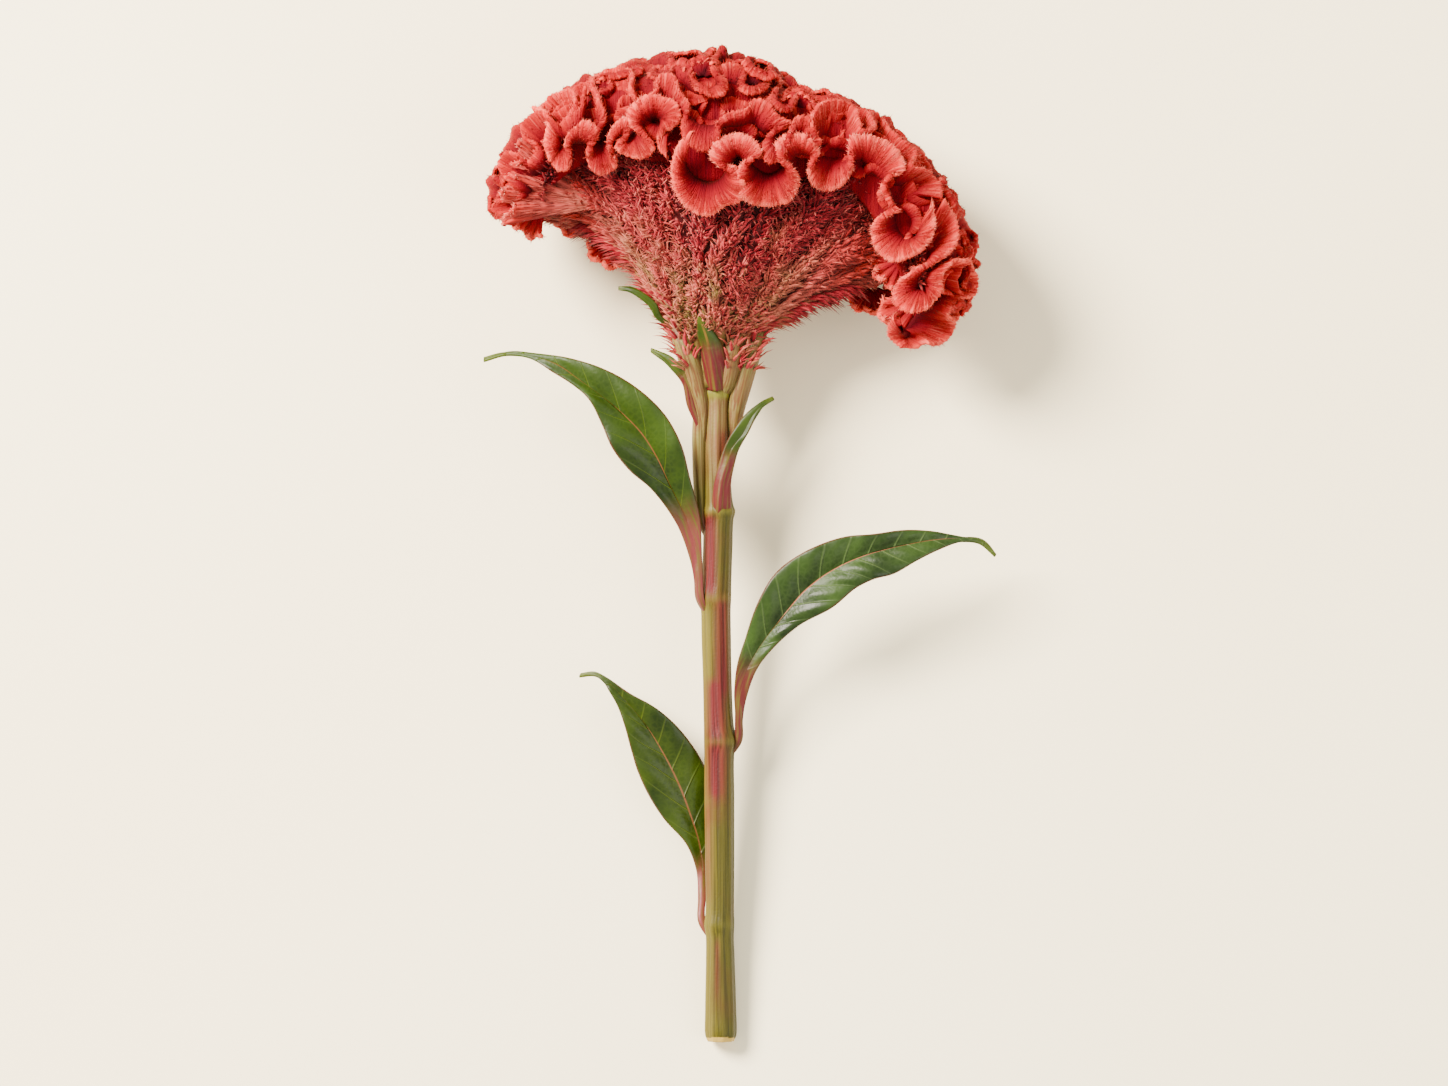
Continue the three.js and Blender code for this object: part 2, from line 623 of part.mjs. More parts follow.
const LEAVES = {
  leaf_upper_left: {
    color: '#4f5f1f',
    stalkEnd: 3,
    stations: [
      [705, 601, 701, 601, 696, 600, 4, 0.4, -0.8],
      [703, 577, 699, 578, 694, 579, 3.8, 0.4, -0.6],
      [702, 552, 697, 556, 690, 560, 3.6, 0.4, 0.4],
      [700, 517, 687, 521, 677, 525, 3.6, 1.2, 1],
      [690, 477, 669, 483, 652, 490, 5, 2.2, 2],
      [682, 446, 657, 457, 630, 471, 6.4, 3.2, 1.6],
      [668, 419, 642, 434, 613, 449, 7.6, 2.4, 3],
      [650, 399, 624, 415, 602, 424, 8.2, 3.2, 1.6],
      [626, 381, 603, 398, 590, 401, 8.4, 2, 2],
      [600, 368, 583, 383, 575, 387, 8, 1.6, 1],
      [566, 358, 559, 366, 553, 373, 7, 0.8, 0.4],
      [534, 354, 533, 357, 532, 360, 5.2, 0, 0],
      [508, 352, 508, 354, 507, 356, 3.4, 0, 0],
      [484, 358, 484, 360, 484, 362, 1.6, 0, 0],
    ],
  },
  leaf_right: {
    color: '#566433',
    stalkEnd: 3,
    stations: [
      [734, 744, 738, 743, 742, 742, 1, 0, 0],
      [735, 716, 739, 717, 743, 718, 2, 0, 0],
      [734, 692, 740, 694, 747, 696, 3, 0.6, 0.4],
      [737, 664, 748, 667, 757, 669, 4, 1.6, 0.8],
      [745, 638, 761, 644, 773, 648, 5, 2.4, 1.2],
      [757, 603, 781, 618, 799, 625, 6.4, 3.2, 2],
      [775, 573, 805, 590, 832, 607, 8, 2.4, 3],
      [805, 551, 830, 571, 855, 588, 9, 3.4, 2],
      [842, 537, 857, 558, 873, 579, 9.6, 2.2, 2.6],
      [872, 534, 881, 550, 892, 574, 9.6, 2.4, 1.4],
      [902, 530, 908, 544, 917, 560, 9, 1.6, 1.2],
      [930, 531, 933, 540, 940, 549, 7.6, 0.8, 0.6],
      [957, 536, 958, 539, 961, 542, 5.6, 0, 0],
      [982, 540, 981, 542, 979, 544, 3.6, 0, 0],
      [996, 554, 995, 556, 994, 557, 2, 0, 0],
    ],
  },
  leaf_lower_left: {
    color: '#5f6c2c',
    stalkEnd: 2,
    stations: [
      [706, 924, 702, 924, 698, 923, -1, 0, 0],
      [706, 897, 702, 898, 698, 899, -3, 0, 0],
      [709, 869, 702, 870, 696, 871, -5.2, -0.6, 0.6],
      [713, 838, 698, 842, 686, 845, -5.6, -1.8, 1.4],
      [713, 808, 689, 813, 664, 820, -5, -2.4, 2],
      [711, 786, 681, 791, 648, 795, -4.4, -2.8, 1.6],
      [705, 768, 671, 769, 637, 770, -3.6, -2, 2.6],
      [692, 745, 659, 746, 631, 750, -2.6, 0.8, 1.6],
      [674, 723, 647, 727, 624, 724, -1.4, 1.8, 2.2],
      [655, 707, 633, 709, 617, 705, -0.4, 1.8, 1.2],
      [630, 693, 620, 694, 609, 691, 0.2, 1, 0.6],
      [609, 679, 607, 681, 604, 683, 0, 0, 0],
      [596, 672, 595, 674, 594, 676, -0.8, 0, 0],
      [581, 674, 580, 675, 579, 677, -2, 0, 0],
    ],
  },
  small_leaf_right: {
    color: '#6f7d3a',
    stalkEnd: 2,
    stations: [
      [712, 508, 717, 508, 722, 508, 4.6, -0.8, -0.6],
      [716, 484, 721, 484, 727, 484, 4.8, -0.6, -0.8],
      [719, 463, 726, 463, 733, 463, 4.8, 0, -0.4],
      [725, 446, 732, 448, 738, 450, 4.8, 0.4, 0.2],
      [733, 431, 742, 436, 749, 432, 5, 0.8, 0.6],
      [746, 414, 752, 418, 756, 417, 5.2, 0.4, 0.4],
      [760, 403, 762, 406, 764, 407, 4.8, 0, 0],
      [772, 397, 773, 398, 774, 400, 4, 0, 0],
    ],
  },
  small_leaf_left: {
    color: '#6b7a35',
    stalkEnd: 3,
    stations: [
      [701, 424, 698, 425, 694, 426, 3.2, 0, 0],
      [695, 404, 691, 405, 687, 406, 3.8, 0, 0],
      [691, 384, 687, 385, 683, 386, 4.2, 0, 0],
      [688, 373, 683, 376, 679, 379, 4.6, 0.5, 0.2],
      [680, 364, 675, 369, 671, 370, 4.8, 0.6, 0.2],
      [670, 356, 666, 360, 663, 361, 4.6, 0.2, 0.2],
      [651, 349, 651, 350, 651, 352, 3.6, 0, 0],
    ],
  },
  front_bract: {
    color: '#7d6c2f',
    stalkEnd: 2,
    stations: [
      [707, 388, 716, 389, 726, 388, 5.4, -1.6, -2],
      [704, 372, 714, 374, 727, 372, 6, -1.8, -2.4],
      [700, 350, 710, 352, 725, 353, 7.6, -1.8, -2],
      [697, 334, 706, 336, 718, 338, 9, -1, -1],
      [698, 318, 699, 318, 701, 319, 10.4, 0, 0],
    ],
  },
  tiny_leaf_left: {
    color: '#7c8a45',
    stalkEnd: 0,
    stations: [
      [661, 317, 656, 318, 651, 319, 6, 0, 0],
      [661, 306, 654, 308, 648, 307, 7.4, 0.3, 0.3],
      [648, 295, 645, 299, 641, 300, 8, 0.3, 0.3],
      [632, 289, 631, 291, 630, 293, 7.6, 0, 0],
      [619, 288, 619, 290, 619, 291, 6.6, 0, 0],
    ],
  },
};

// Side stalks that run up beside the stem's top: photograph x and y, radius and z

const STALK_SIDES = 8;
const STALKS = {
  side_stalk_right: [
    [734, 436, 1.3, -1], [737, 415, 1.6, 0], [738, 395, 1.7, 1],
    [742, 375, 1.8, 1.5], [745, 352, 1.9, 2],
  ],
  side_stalk_left: [
    [700, 520, 0.8, 1], [698, 490, 1.1, 1.4], [697, 455, 1.2, 1.8], [698, 430, 1.4, 2.4],
  ],
};

function stalkSolid(points, grow = 0) {
  const rings = points.map(([px, py, radius, z]) => {
    const centre = fromPhoto(px, py, z);
    const ring = [];
    for (let k = 0; k < STALK_SIDES; k += 1) {
      const turn = 2 * Math.PI * k / STALK_SIDES;
      const around = new THREE.Vector3(Math.cos(turn), 0, Math.sin(turn));
      ring.push(centre.clone().addScaledVector(around, radius + grow));
    }
    return ring;
  });
  return loft(rings);
}

// Assembly

const HEAD_DROP = HEAD_HALF_DEPTH + CREST_LIP_LIFT - HEAD_FLATTENING - CUT_END_RADIUS;
const REST_TILT = Math.atan(HEAD_DROP / HEAD_SEAT_HEIGHT);
const REST_RISE = CUT_END_RADIUS * Math.cos(REST_TILT) - SEAT_TRIM;
const BOX_MIDDLE = { x: 6.6, y: 147.9 };
const seatNormal = [0, Math.sin(REST_TILT), Math.cos(REST_TILT)];

const part = new THREE.Group();
const plant = new THREE.Group();
plant.rotation.x = REST_TILT;
plant.position.set(-BOX_MIDDLE.x, -BOX_MIDDLE.y, REST_RISE);
part.add(plant);

function addPiece(name, solid, color, roughness) {
  const trimmed = largestBody(solid.trimByPlane(seatNormal, -REST_RISE).simplify(SMOOTHING));
  const material = new THREE.MeshStandardMaterial({ color, roughness, metalness: 0 });
  const mesh = new THREE.Mesh(parted(toGeometry(trimmed)), material);
  mesh.name = name;
  plant.add(mesh);
  return trimmed;
}

const stemRoom = stemSolid(GAP);
const fanRoom = fanSolid(GAP);
addPiece('stem', stemSolid(), '#857537', 0.6);

const crest = addPiece('flower_crest', largestBody(crestSolid()).subtract(fanRoom), '#d94b42', 0.85);

const stalkRooms = [];
const besideFlank = [crest];
for (const [name, points] of Object.entries(STALKS)) {
  const stalk = stalkSolid(points).subtract(stemRoom).subtract(fanRoom);
  stalkRooms.push(stalkSolid(points, GAP));
  besideFlank.push(addPiece(name, stalk, '#9a8b4c', 0.6));
}

for (const [name, leaf] of Object.entries(LEAVES)) {
  const blade = stalkRooms.reduce((solid, room) => solid.subtract(room), leafSolid(leaf));
  besideFlank.push(addPiece(name, blade.subtract(stemRoom).subtract(fanRoom), leaf.color, 0.5));
}

addPiece('flower_flank', flankSolid(besideFlank), '#a8463f', 0.85);

export default part;
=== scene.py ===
import math
from functools import partial

import bpy
import numpy as np
from mathutils import Matrix, Vector


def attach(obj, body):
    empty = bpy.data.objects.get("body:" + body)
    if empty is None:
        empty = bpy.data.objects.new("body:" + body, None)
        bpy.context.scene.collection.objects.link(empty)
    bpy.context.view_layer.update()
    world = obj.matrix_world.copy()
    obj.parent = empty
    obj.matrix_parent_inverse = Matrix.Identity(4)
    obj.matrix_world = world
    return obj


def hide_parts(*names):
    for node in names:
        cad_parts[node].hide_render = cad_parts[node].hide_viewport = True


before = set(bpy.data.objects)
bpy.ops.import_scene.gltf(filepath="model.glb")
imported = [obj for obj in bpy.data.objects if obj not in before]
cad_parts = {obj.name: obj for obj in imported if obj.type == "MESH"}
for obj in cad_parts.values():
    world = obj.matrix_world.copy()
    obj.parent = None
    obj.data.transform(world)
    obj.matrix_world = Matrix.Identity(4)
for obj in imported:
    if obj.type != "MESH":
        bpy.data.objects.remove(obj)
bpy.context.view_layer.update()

# A cut cockscomb celosia stem lying on its back. The plant is drawn upright in its own plane, in
# millimetres (x right, y up the stem, z to the viewer), and laid down as the solids are.
OVERALL_LENGTH, PHOTO_LENGTH = 298, 993
PHOTO_SIZE = (1448, 1086)
PHOTO_AXIS_X, PHOTO_CUT_Y = 718, 1041
MM_PER_PIXEL = OVERALL_LENGTH / PHOTO_LENGTH
CUT_END_RADIUS, SEAT_TRIM = 4.65, 0.5
HEAD_HALF_DEPTH, LIP_LIFT, HEAD_FLATTENING, HEAD_SEAT_HEIGHT = 35, 3, 1.2, 262
HEAD_DROP = HEAD_HALF_DEPTH + LIP_LIFT - HEAD_FLATTENING - CUT_END_RADIUS
REST_TILT = math.atan(HEAD_DROP / HEAD_SEAT_HEIGHT)
REST_RISE = CUT_END_RADIUS * math.cos(REST_TILT) - SEAT_TRIM
BOX_MIDDLE = (6.6, 147.9)
METRE = 1000

dice = np.random.default_rng(9)


def from_photo(px, py, z=0.0):
    """The point, or points, at photograph x and y with a depth in millimetres."""
    x, y = (np.array(px) - PHOTO_AXIS_X) * MM_PER_PIXEL, (PHOTO_CUT_Y - np.array(py)) * MM_PER_PIXEL
    return np.stack(np.broadcast_arrays(x, y, z), axis=-1)


def laid_down(points):
    """Points of the upright plant in millimetres, laid on the surface, in metres."""
    points = np.asarray(points, float).reshape(-1, 3)
    lean, rise = math.cos(REST_TILT), math.sin(REST_TILT)
    x = points[:, 0] - BOX_MIDDLE[0]
    y = points[:, 1] * lean - points[:, 2] * rise - BOX_MIDDLE[1]
    z = points[:, 1] * rise + points[:, 2] * lean + REST_RISE
    return np.stack([x, y, np.maximum(z, 0)], axis=1) / METRE


def smoothstep(value, low, high):
    share = np.clip((value - low) / (high - low), 0, 1)
    return share * share * (3 - 2 * share)


def unit(vectors):
    return vectors / np.maximum(np.linalg.norm(vectors, axis=-1, keepdims=True), 1e-9)


def dot(one, other):
    return (one * other).sum(-1, keepdims=True)


# Curves through listed points

def spline(points, share):
    """A centripetal Catmull-Rom curve through points, at shares of its span."""
    points = np.asarray(points, float)
    share = np.clip(np.atleast_1d(share), 0, 1) * (len(points) - 1)
    first = np.minimum(share.astype(int), len(points) - 2)
    weight = (share - first)[:, None]
    ends = np.vstack([2 * points[:1] - points[1:2], points, 2 * points[-1:] - points[-2:-1]])
    a, b, c, d = (ends[first + k] for k in range(4))
    one, two, three = (
        np.maximum(np.linalg.norm(q - p, axis=1, keepdims=True), 1e-8) ** 0.5
        for p, q in ((a, b), (b, c), (c, d))
    )
    start = ((b - a) / one - (c - a) / (one + two) + (c - b) / two) * two
    end = ((c - b) / two - (d - b) / (two + three) + (d - c) / three) * two
    square, cube = weight**2, weight**3
    bend = -3 * b + 3 * c - 2 * start - end
    return b + start * weight + bend * square + (2 * b - 2 * c + start + end) * cube


def travelled(points):
    """How far along a line each of its points lies."""
    return np.concatenate([[0], np.cumsum(np.linalg.norm(np.diff(points, axis=0), axis=1))])


def evenly_along(points, step):
    """Points at even steps along the curve through points."""
    fine = spline(points, np.linspace(0, 1, 24 * len(points)))
    far = travelled(fine)
    marks = np.linspace(0, far[-1], max(6, round(far[-1] / step)) + 1)
    return np.stack([np.interp(marks, far, fine[:, axis]) for axis in range(3)], axis=1)


def smoothed(points, reach):
    """Each point's mean with its neighbours up to reach away."""
    total = np.vstack([np.zeros(3), np.cumsum(points, axis=0)])
    index = np.arange(len(points))
    low = np.maximum(index - reach, 0)
    high = np.minimum(index + reach, len(points) - 1) + 1
    return (total[high] - total[low]) / (high - low)[:, None]


def draws(count, *ranges):
    """Random numbers from each range in turn."""
    return [dice.uniform(low, high, count) for low, high in ranges]


def wander(length, wavelength, count):
    """A smooth random wave along a length, about one high at its peaks."""
    knots = dice.uniform(-1, 1, max(4, int(length / wavelength * 2) + 2))
    place = np.linspace(0, len(knots) - 1.001, count)
    first = place.astype(int)
    share = (1 - np.cos(np.pi * (place - first))) / 2
    return knots[first] * (1 - share) + knots[first + 1] * share


# The crest's dome: a swollen arch, with photograph x and y, half height and half depth

CREST_ARCH = np.array([
    [525, 226, 7, 14], [530, 190, 9, 19], [558, 152, 11.5, 24], [608, 127, 13.5, 29],
    [662, 125, 18.5, 33], [716, 134, 23, 35], [776, 144, 18.5, 34], [838, 152, 13, 30],
    [882, 184, 13, 27], [913, 226, 13.5, 25], [927, 270, 12.5, 22], [918, 310, 10, 18],
])
ARCH_LINE = from_photo(*CREST_ARCH[:, :2].T)
ARCH_SIZES = np.column_stack([CREST_ARCH[:, 2:], np.zeros(len(CREST_ARCH))])
BACK_DROP = 8
UNDERSIDE_TUCK = 0.35


class Arch:
    """Cross-sections of the dome at shares along its arch."""

    def __init__(self, share):
        share = np.atleast_1d(share)
        self.centre = spline(ARCH_LINE, share)
        self.along = unit(spline(ARCH_LINE, share + 1e-4) - spline(ARCH_LINE, share - 1e-4))
        self.outward = np.stack([-self.along[:, 1], self.along[:, 0], 0 * share], axis=1)
        self.high, self.deep, _ = spline(ARCH_SIZES, share).T


WHOLE_ARCH = Arch(np.linspace(0, 1, 1601))


def back_drop(depth):
    """How far the dome's middle sinks behind the arch, at shares of the half depth."""
    return np.where(depth < 0, BACK_DROP * np.minimum(depth**2, 1), 0)


def beside_arch(points):
    """For each point: index of the section beside it, its height, and its reach past an end."""
    flat = points[:, None, :2] - WHOLE_ARCH.centre[None, :, :2]
    index = (flat**2).sum(-1).argmin(1)
    offset = points - WHOLE_ARCH.centre[index]
    offset[:, 2] = 0
    drop = back_drop(points[:, 2] / WHOLE_ARCH.deep[index])
    rise = dot(offset, WHOLE_ARCH.outward[index])[:, 0] + drop
    return index, rise, np.abs(dot(offset, WHOLE_ARCH.along[index])[:, 0])


def dome_depth(points):
    index, rise, past = beside_arch(points)
    tuck = np.where(rise > 0, 1, UNDERSIDE_TUCK)
    high = WHOLE_ARCH.high[index]
    left = 1 - tuck * (rise / high) ** 2 - (past / high) ** 2
    return WHOLE_ARCH.deep[index] * np.sqrt(np.maximum(left, 0.05))


def dome_normal(points):
    index, rise, _ = beside_arch(points)
    tuck = np.where(rise > 0, 1, UNDERSIDE_TUCK)
    normal = WHOLE_ARCH.outward[index] * (tuck * rise / WHOLE_ARCH.high[index] ** 2)[:, None]
    normal[:, 2] = points[:, 2] / WHOLE_ARCH.deep[index] ** 2
    return unit(normal)


def cross_point(arch, height, depth):
    """A point of a cross-section: its height above the arch and its share of the half depth."""
    point = arch.centre + arch.outward * (height - back_drop(depth))[:, None]
    point[:, 2] = arch.deep * depth
    return point


def dome_point(share, angle):
    arch = Arch(share)
    rise = np.cos(angle)
    under = np.sign(angle) * np.sqrt(1 - UNDERSIDE_TUCK * rise**2)
    return cross_point(arch, arch.high * rise, np.where(rise > 0, np.sin(angle), under))


# Rims of the ruffles, traced from left to right in photograph x and y

LOWER_LIPS_LEFT = [
    [541, 118], [550, 124], [555, 136], [553, 155], [562, 170], [571, 168], [571, 150], [578, 138],
    [591, 136], [598, 143], [592, 158], [595, 170], [606, 174], [616, 168], [612, 152], [618, 139],
    [628, 133], [628, 146], [621, 153], [630, 160], [645, 161], [652, 152], [643, 142], [635, 134],
    [636, 122], [646, 113], [662, 111], [674, 118], [675, 131], [665, 139], [661, 150], [668, 158],
]
LOWER_LIPS_RIGHT = [
    [690, 150], [680, 162], [676, 180], [681, 200], [692, 213], [708, 218], [722, 211], [734, 207],
    [739, 194], [734, 181], [722, 176], [716, 168], [720, 158], [734, 151], [748, 154], [756, 165],
    [747, 171], [741, 184], [744, 199], [755, 207], [770, 208], [786, 202], [793, 189], [788, 176],
    [778, 168], [779, 156], [792, 149], [806, 152], [814, 163], [809, 174], [810, 184], [822, 191],
    [837, 188], [847, 176], [848, 160], [851, 150], [862, 149], [878, 154], [891, 165], [896, 178],
    [887, 183], [880, 194], [886, 208], [892, 216], [881, 221], [873, 233], [876, 249], [890, 260],
    [908, 256], [922, 244], [927, 228], [925, 214],
]
RIGHT_TUFT_LIPS = [
    [936, 214], [946, 226], [948, 242], [940, 258], [926, 268], [912, 276], [899, 286], [896, 300],
    [908, 309], [924, 306], [934, 293], [934, 280], [942, 270], [956, 266], [966, 277], [966, 292],
    [954, 302], [944, 312], [946, 326], [934, 340], [918, 341], [906, 345], [894, 337], [894, 320],
]
MIDDLE_LIPS = [
    [553, 116], [562, 106], [575, 106], [580, 116], [576, 130], [584, 143], [597, 142], [606, 128],
    [600, 112], [597, 96], [604, 84], [620, 80], [634, 87], [634, 102], [643, 112], [656, 104],
    [661, 91], [672, 90], [679, 104], [688, 118], [685, 134], [692, 148], [706, 154], [717, 146],
    [719, 134], [730, 127], [744, 123], [752, 115], [764, 117], [772, 128], [784, 134], [772, 142],
    [765, 152], [770, 166], [783, 160], [788, 144], [795, 132], [806, 133], [806, 146], [815, 152],
    [810, 138], [815, 123], [830, 116], [846, 118], [853, 130], [856, 142], [867, 138], [865, 126],
    [876, 128], [884, 140], [894, 152], [906, 162], [903, 176], [914, 179], [927, 187], [930, 202],
]
UPPER_LIPS = [
    [600, 100], [612, 92], [608, 80], [618, 70], [634, 64], [650, 68], [654, 80], [668, 82],
    [676, 72], [690, 74], [694, 88], [702, 98], [720, 99], [724, 88], [714, 78], [730, 74],
    [743, 79], [742, 92], [750, 98], [764, 92], [766, 80], [778, 84], [774, 98], [773, 112],
    [786, 116], [794, 106], [797, 94], [810, 100], [812, 112], [828, 108], [834, 100], [848, 104],
    [856, 114], [868, 112], [878, 118], [884, 128], [896, 136], [908, 142], [918, 152], [914, 166],
]
# Small fans beside the rims: middle, depth, radius, the arc they open over, how far their rim
# falls back and, on the top, how much painted shade darkens them; the rest are painted lighter.
# They fill the crest's ends and hollows, and the back ones show below the flank.
END_TUFTS = [
    (546, 203, 13, 12, 172, 262, -5), (919, 300, 5, 12.6, 182, 338, -3),
    (900, 262, 12, 9, 150, 290, -4),
]
TOP_TUFTS = [
    (703, 86, 25, 6.5, 25, 150, -2, 0.05), (752, 94, 24, 6, 30, 150, -2, 0.05),
    (797, 118, 24, 6, 25, 150, -2, 0.05), (607, 104, 22, 6, 40, 160, -2, 0.05),
]
BACK_TUFTS = [
    (577, 208, -8, 8.6, 200, 345, 0), (615, 236, -8, 9.6, 195, 330, 0),
    (872, 284, -9, 8.6, 190, 345, 0),
]

# Meandering rows over the top and the back: mean angle from the top (front is positive), start
# and end along the arch, length of one fold and sweep of the bends
MEANDER_ROWS = [
    (24, 0.02, 0.99, 43, 1.65), (-12, 0.03, 0.98, 48, 1.7), (-46, 0.05, 0.97, 50, 1.7),
    (-80, 0.03, 0.98, 50, 1.7), (-113, 0.05, 0.98, 46, 1.6), (68, 0, 0.26, 34, 1.5),
]
# Lower rows that fill the gaps between them, in the same form with a lift of their own
FILLER_ROWS = [
    (6, 0.03, 0.98, 36, 1.6, 0.5), (42, 0.04, 0.98, 34, 1.6, -1), (60, 0.06, 0.96, 34, 1.6, -2),
    (78, 0.12, 0.92, 34, 1.6, -2.5), (97, 0.3, 0.92, 32, 1.6, -1.5),
    (-30, 0.04, 0.97, 36, 1.6, -0.5), (-63, 0.04, 0.97, 36, 1.6, -0.5),
    (-97, 0.05, 0.96, 36, 1.6, -0.5),
]
POINTS_PER_FOLD = 12
DRIFT_PULL = 0.03


def traced_rim(pixels):
    points = from_photo(*np.array(pixels).T)
    points[:, 2] = dome_depth(points) + LIP_LIFT
    return points


def seeded(seed):
    """The draw that the solids' rims use too, so that both wind alike."""
    while True:
        seed = (seed * 1664525 + 1013904223) % 2**32
        yield seed / 2**32


fold_draw = seeded(9)


def meander_rim(angle, begin, end, fold, bend, lift=LIP_LIFT):
    fine = spline(ARCH_LINE, np.linspace(0, 1, 201))
    arch_length = np.linalg.norm(np.diff(fine, axis=0), axis=1).sum()
    stride = fold / POINTS_PER_FOLD
    points = []
    far, sideways = begin * arch_length, 0.0
    phase = math.pi / 2 if next(fold_draw) < 0.5 else math.pi * 1.5
    reach = bend
    while far < end * arch_length:
        share = min(max(far / arch_length, 0), 1)
        arch = Arch(share)
        girth = max(arch.high[0], arch.deep[0]) * 0.9
        narrow = min(max(arch.deep[0] / 28, 0.55), 1)
        point = dome_point(share, np.array([math.radians(angle) + sideways / girth]))
        points.append((point + dome_normal(point) * lift)[0])
        heading = reach * math.sin(phase) - sideways * DRIFT_PULL
        far += stride * narrow * math.cos(heading)
        sideways += stride * narrow * math.sin(heading)
        half = math.floor(phase / math.pi)
        phase += 2 * math.pi / POINTS_PER_FOLD
        if math.floor(phase / math.pi) > half:
            reach = bend * (0.86 + 0.28 * next(fold_draw))
    return np.array(points)


# Meshes

def placed(name, data):
    item = bpy.data.objects.new(name, data)
    bpy.context.scene.collection.objects.link(item)
    return item


def new_piece(name, points, faces, material, cad_node, values=None, lines=None):
    """A mesh piece from points in millimetres, with named values at its points."""
    mesh = bpy.data.meshes.new(name)
    mesh.from_pydata(laid_down(points).tolist(), [], faces)
    for key, numbers in (values or {}).items():
        attribute = mesh.attributes.new(key, "FLOAT", "POINT")
        attribute.data.foreach_set("value", np.asarray(numbers, np.float32).ravel())
    if lines is not None:
        corners = np.zeros(len(mesh.loops), np.int32)
        mesh.loops.foreach_get("vertex_index", corners)
        layer = mesh.uv_layers.new(name="UVMap")
        layer.data.foreach_set("uv", np.asarray(lines, np.float32)[corners].ravel())
    mesh.polygons.foreach_set("use_smooth", np.ones(len(mesh.polygons), bool))
    mesh.materials.append(material)
    piece = placed(name, mesh)
    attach(piece, "root")
    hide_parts(cad_node)
    return piece


def lofted(rings):
    """A closed body through rings of points: its points, and its quads and caps turned outward."""
    rows, around = rings.shape[:2]
    points = rings.reshape(-1, 3)
    row, k = np.meshgrid(np.arange(rows - 1), np.arange(around), indexing="ij")
    a, b = row * around + k, row * around + (k + 1) % around
    quads = np.stack([a, b, b + around, a + around], axis=-1).reshape(-1, 4)
    caps = [list(range(around))[::-1], list(range((rows - 1) * around, rows * around))]
    faces = quads.tolist() + caps
    one, two, three = (points[quads[:, corner]] for corner in range(3))
    if (one * np.cross(two, three)).sum() < 0:
        faces = [face[::-1] for face in faces]
    return points, faces


def many_copies(pattern_points, pattern_faces, foot, reach, over, length, width, curl=0.0):
    """Copies of one pattern (across, along and out, one long), each set on its own foot."""
    side = unit(np.cross(reach, over))
    over = np.cross(side, reach)
    across, along, out = pattern_points.T[..., None]
    wide, long, bend = (
        np.broadcast_to(value, len(foot))[:, None, None] for value in (width, length, curl)
    )
    points = (
        foot[:, None] + side[:, None] * across * wide + reach[:, None] * along * long
        + over[:, None] * (out * wide + bend * along**2 * long)
    )
    shift = np.arange(len(foot))[:, None, None] * len(pattern_points)
    faces = []
    for size in sorted({len(face) for face in pattern_faces}):
        same = np.array([face for face in pattern_faces if len(face) == size])
        faces += (same[None] + shift).reshape(-1, size).tolist()
    return points.reshape(-1, 3), faces


# Patterns that are modelled once and copied

def finish_pattern():
    """The modelled pattern's points and faces; the pattern itself is removed."""
    bpy.ops.mesh.select_all(action="SELECT")
    bpy.ops.mesh.remove_doubles(threshold=1e-4)
    bpy.ops.mesh.normals_make_consistent(inside=False)
    bpy.ops.object.mode_set(mode="OBJECT")
    pattern = bpy.context.object
    points = np.array([pattern.matrix_world @ v.co for v in pattern.data.vertices])
    faces = [list(face.vertices) for face in pattern.data.polygons]
    bpy.data.objects.remove(pattern)
    return points, faces


def bract_pattern():
    """A lance-shaped bract, one long along Y and half as wide, keeled below and pointed."""
    bpy.ops.mesh.primitive_circle_add(
        vertices=3, radius=0.34, fill_type="NGON", rotation=(math.pi / 2, 0, 0)
    )
    bpy.ops.object.mode_set(mode="EDIT")
    bpy.ops.mesh.select_all(action="SELECT")
    bpy.ops.transform.resize(value=(1, 1, 0.35), center_override=(0, 0, 0))
    for travel, growth in ((0.28, 1.6), (0.34, 0.85), (0.38, 0.0001)):
        bpy.ops.mesh.extrude_region_move(TRANSFORM_OT_translate={"value": (0, travel, 0)})
        bpy.ops.transform.resize(value=(growth, 1, growth), center_override=(0, 0, 0))
    return finish_pattern()


def hair_pattern():
    """A three-sided hair, one long along Y."""
    bpy.ops.mesh.primitive_cone_add(
        vertices=3, radius1=0.5, radius2=0, depth=1, location=(0, 0.5, 0),
        rotation=(-math.pi / 2, 0, 0),
    )
    bpy.ops.object.mode_set(mode="EDIT")
    return finish_pattern()


# Materials. Each pattern's scale comes from a size in millimetres: METRE / size where it follows
# the object's coordinates, which are in metres, and 1 / size where it follows UV, in millimetres.

def linear(code):
    """An sRGB hex colour as linear values with alpha."""
    parts = [int(code[k:k + 2], 16) / 255 for k in (1, 3, 5)]
    return [p / 12.92 if p <= 0.04045 else ((p + 0.055) / 1.055) ** 2.4 for p in parts] + [1.0]


def node(tree, kind, inputs=None, out=0, stops=(), **settings):
    """Adds a node; an input takes a value, a hex colour or a socket. Gives back one output."""
    made = tree.nodes.new("ShaderNode" + kind)
    for key, value in settings.items():
        setattr(made, key, value)
    for index, (place, code) in enumerate(stops):
        bands = made.color_ramp.elements
        band = bands[index] if index < 2 else bands.new(place)
        band.position, band.color = place, linear(code)
    for key, value in (inputs or {}).items():
        if isinstance(value, bpy.types.NodeSocket):
            tree.links.new(value, made.inputs[key])
        else:
            made.inputs[key].default_value = linear(value) if isinstance(value, str) else value
    return made.outputs[out] if len(made.outputs) else made


def new_material(name):
    """An empty material and what adds a node to it."""
    material = bpy.data.materials.new(name)
    material.use_nodes = True
    material.node_tree.nodes.clear()
    return material, partial(node, material.node_tree)


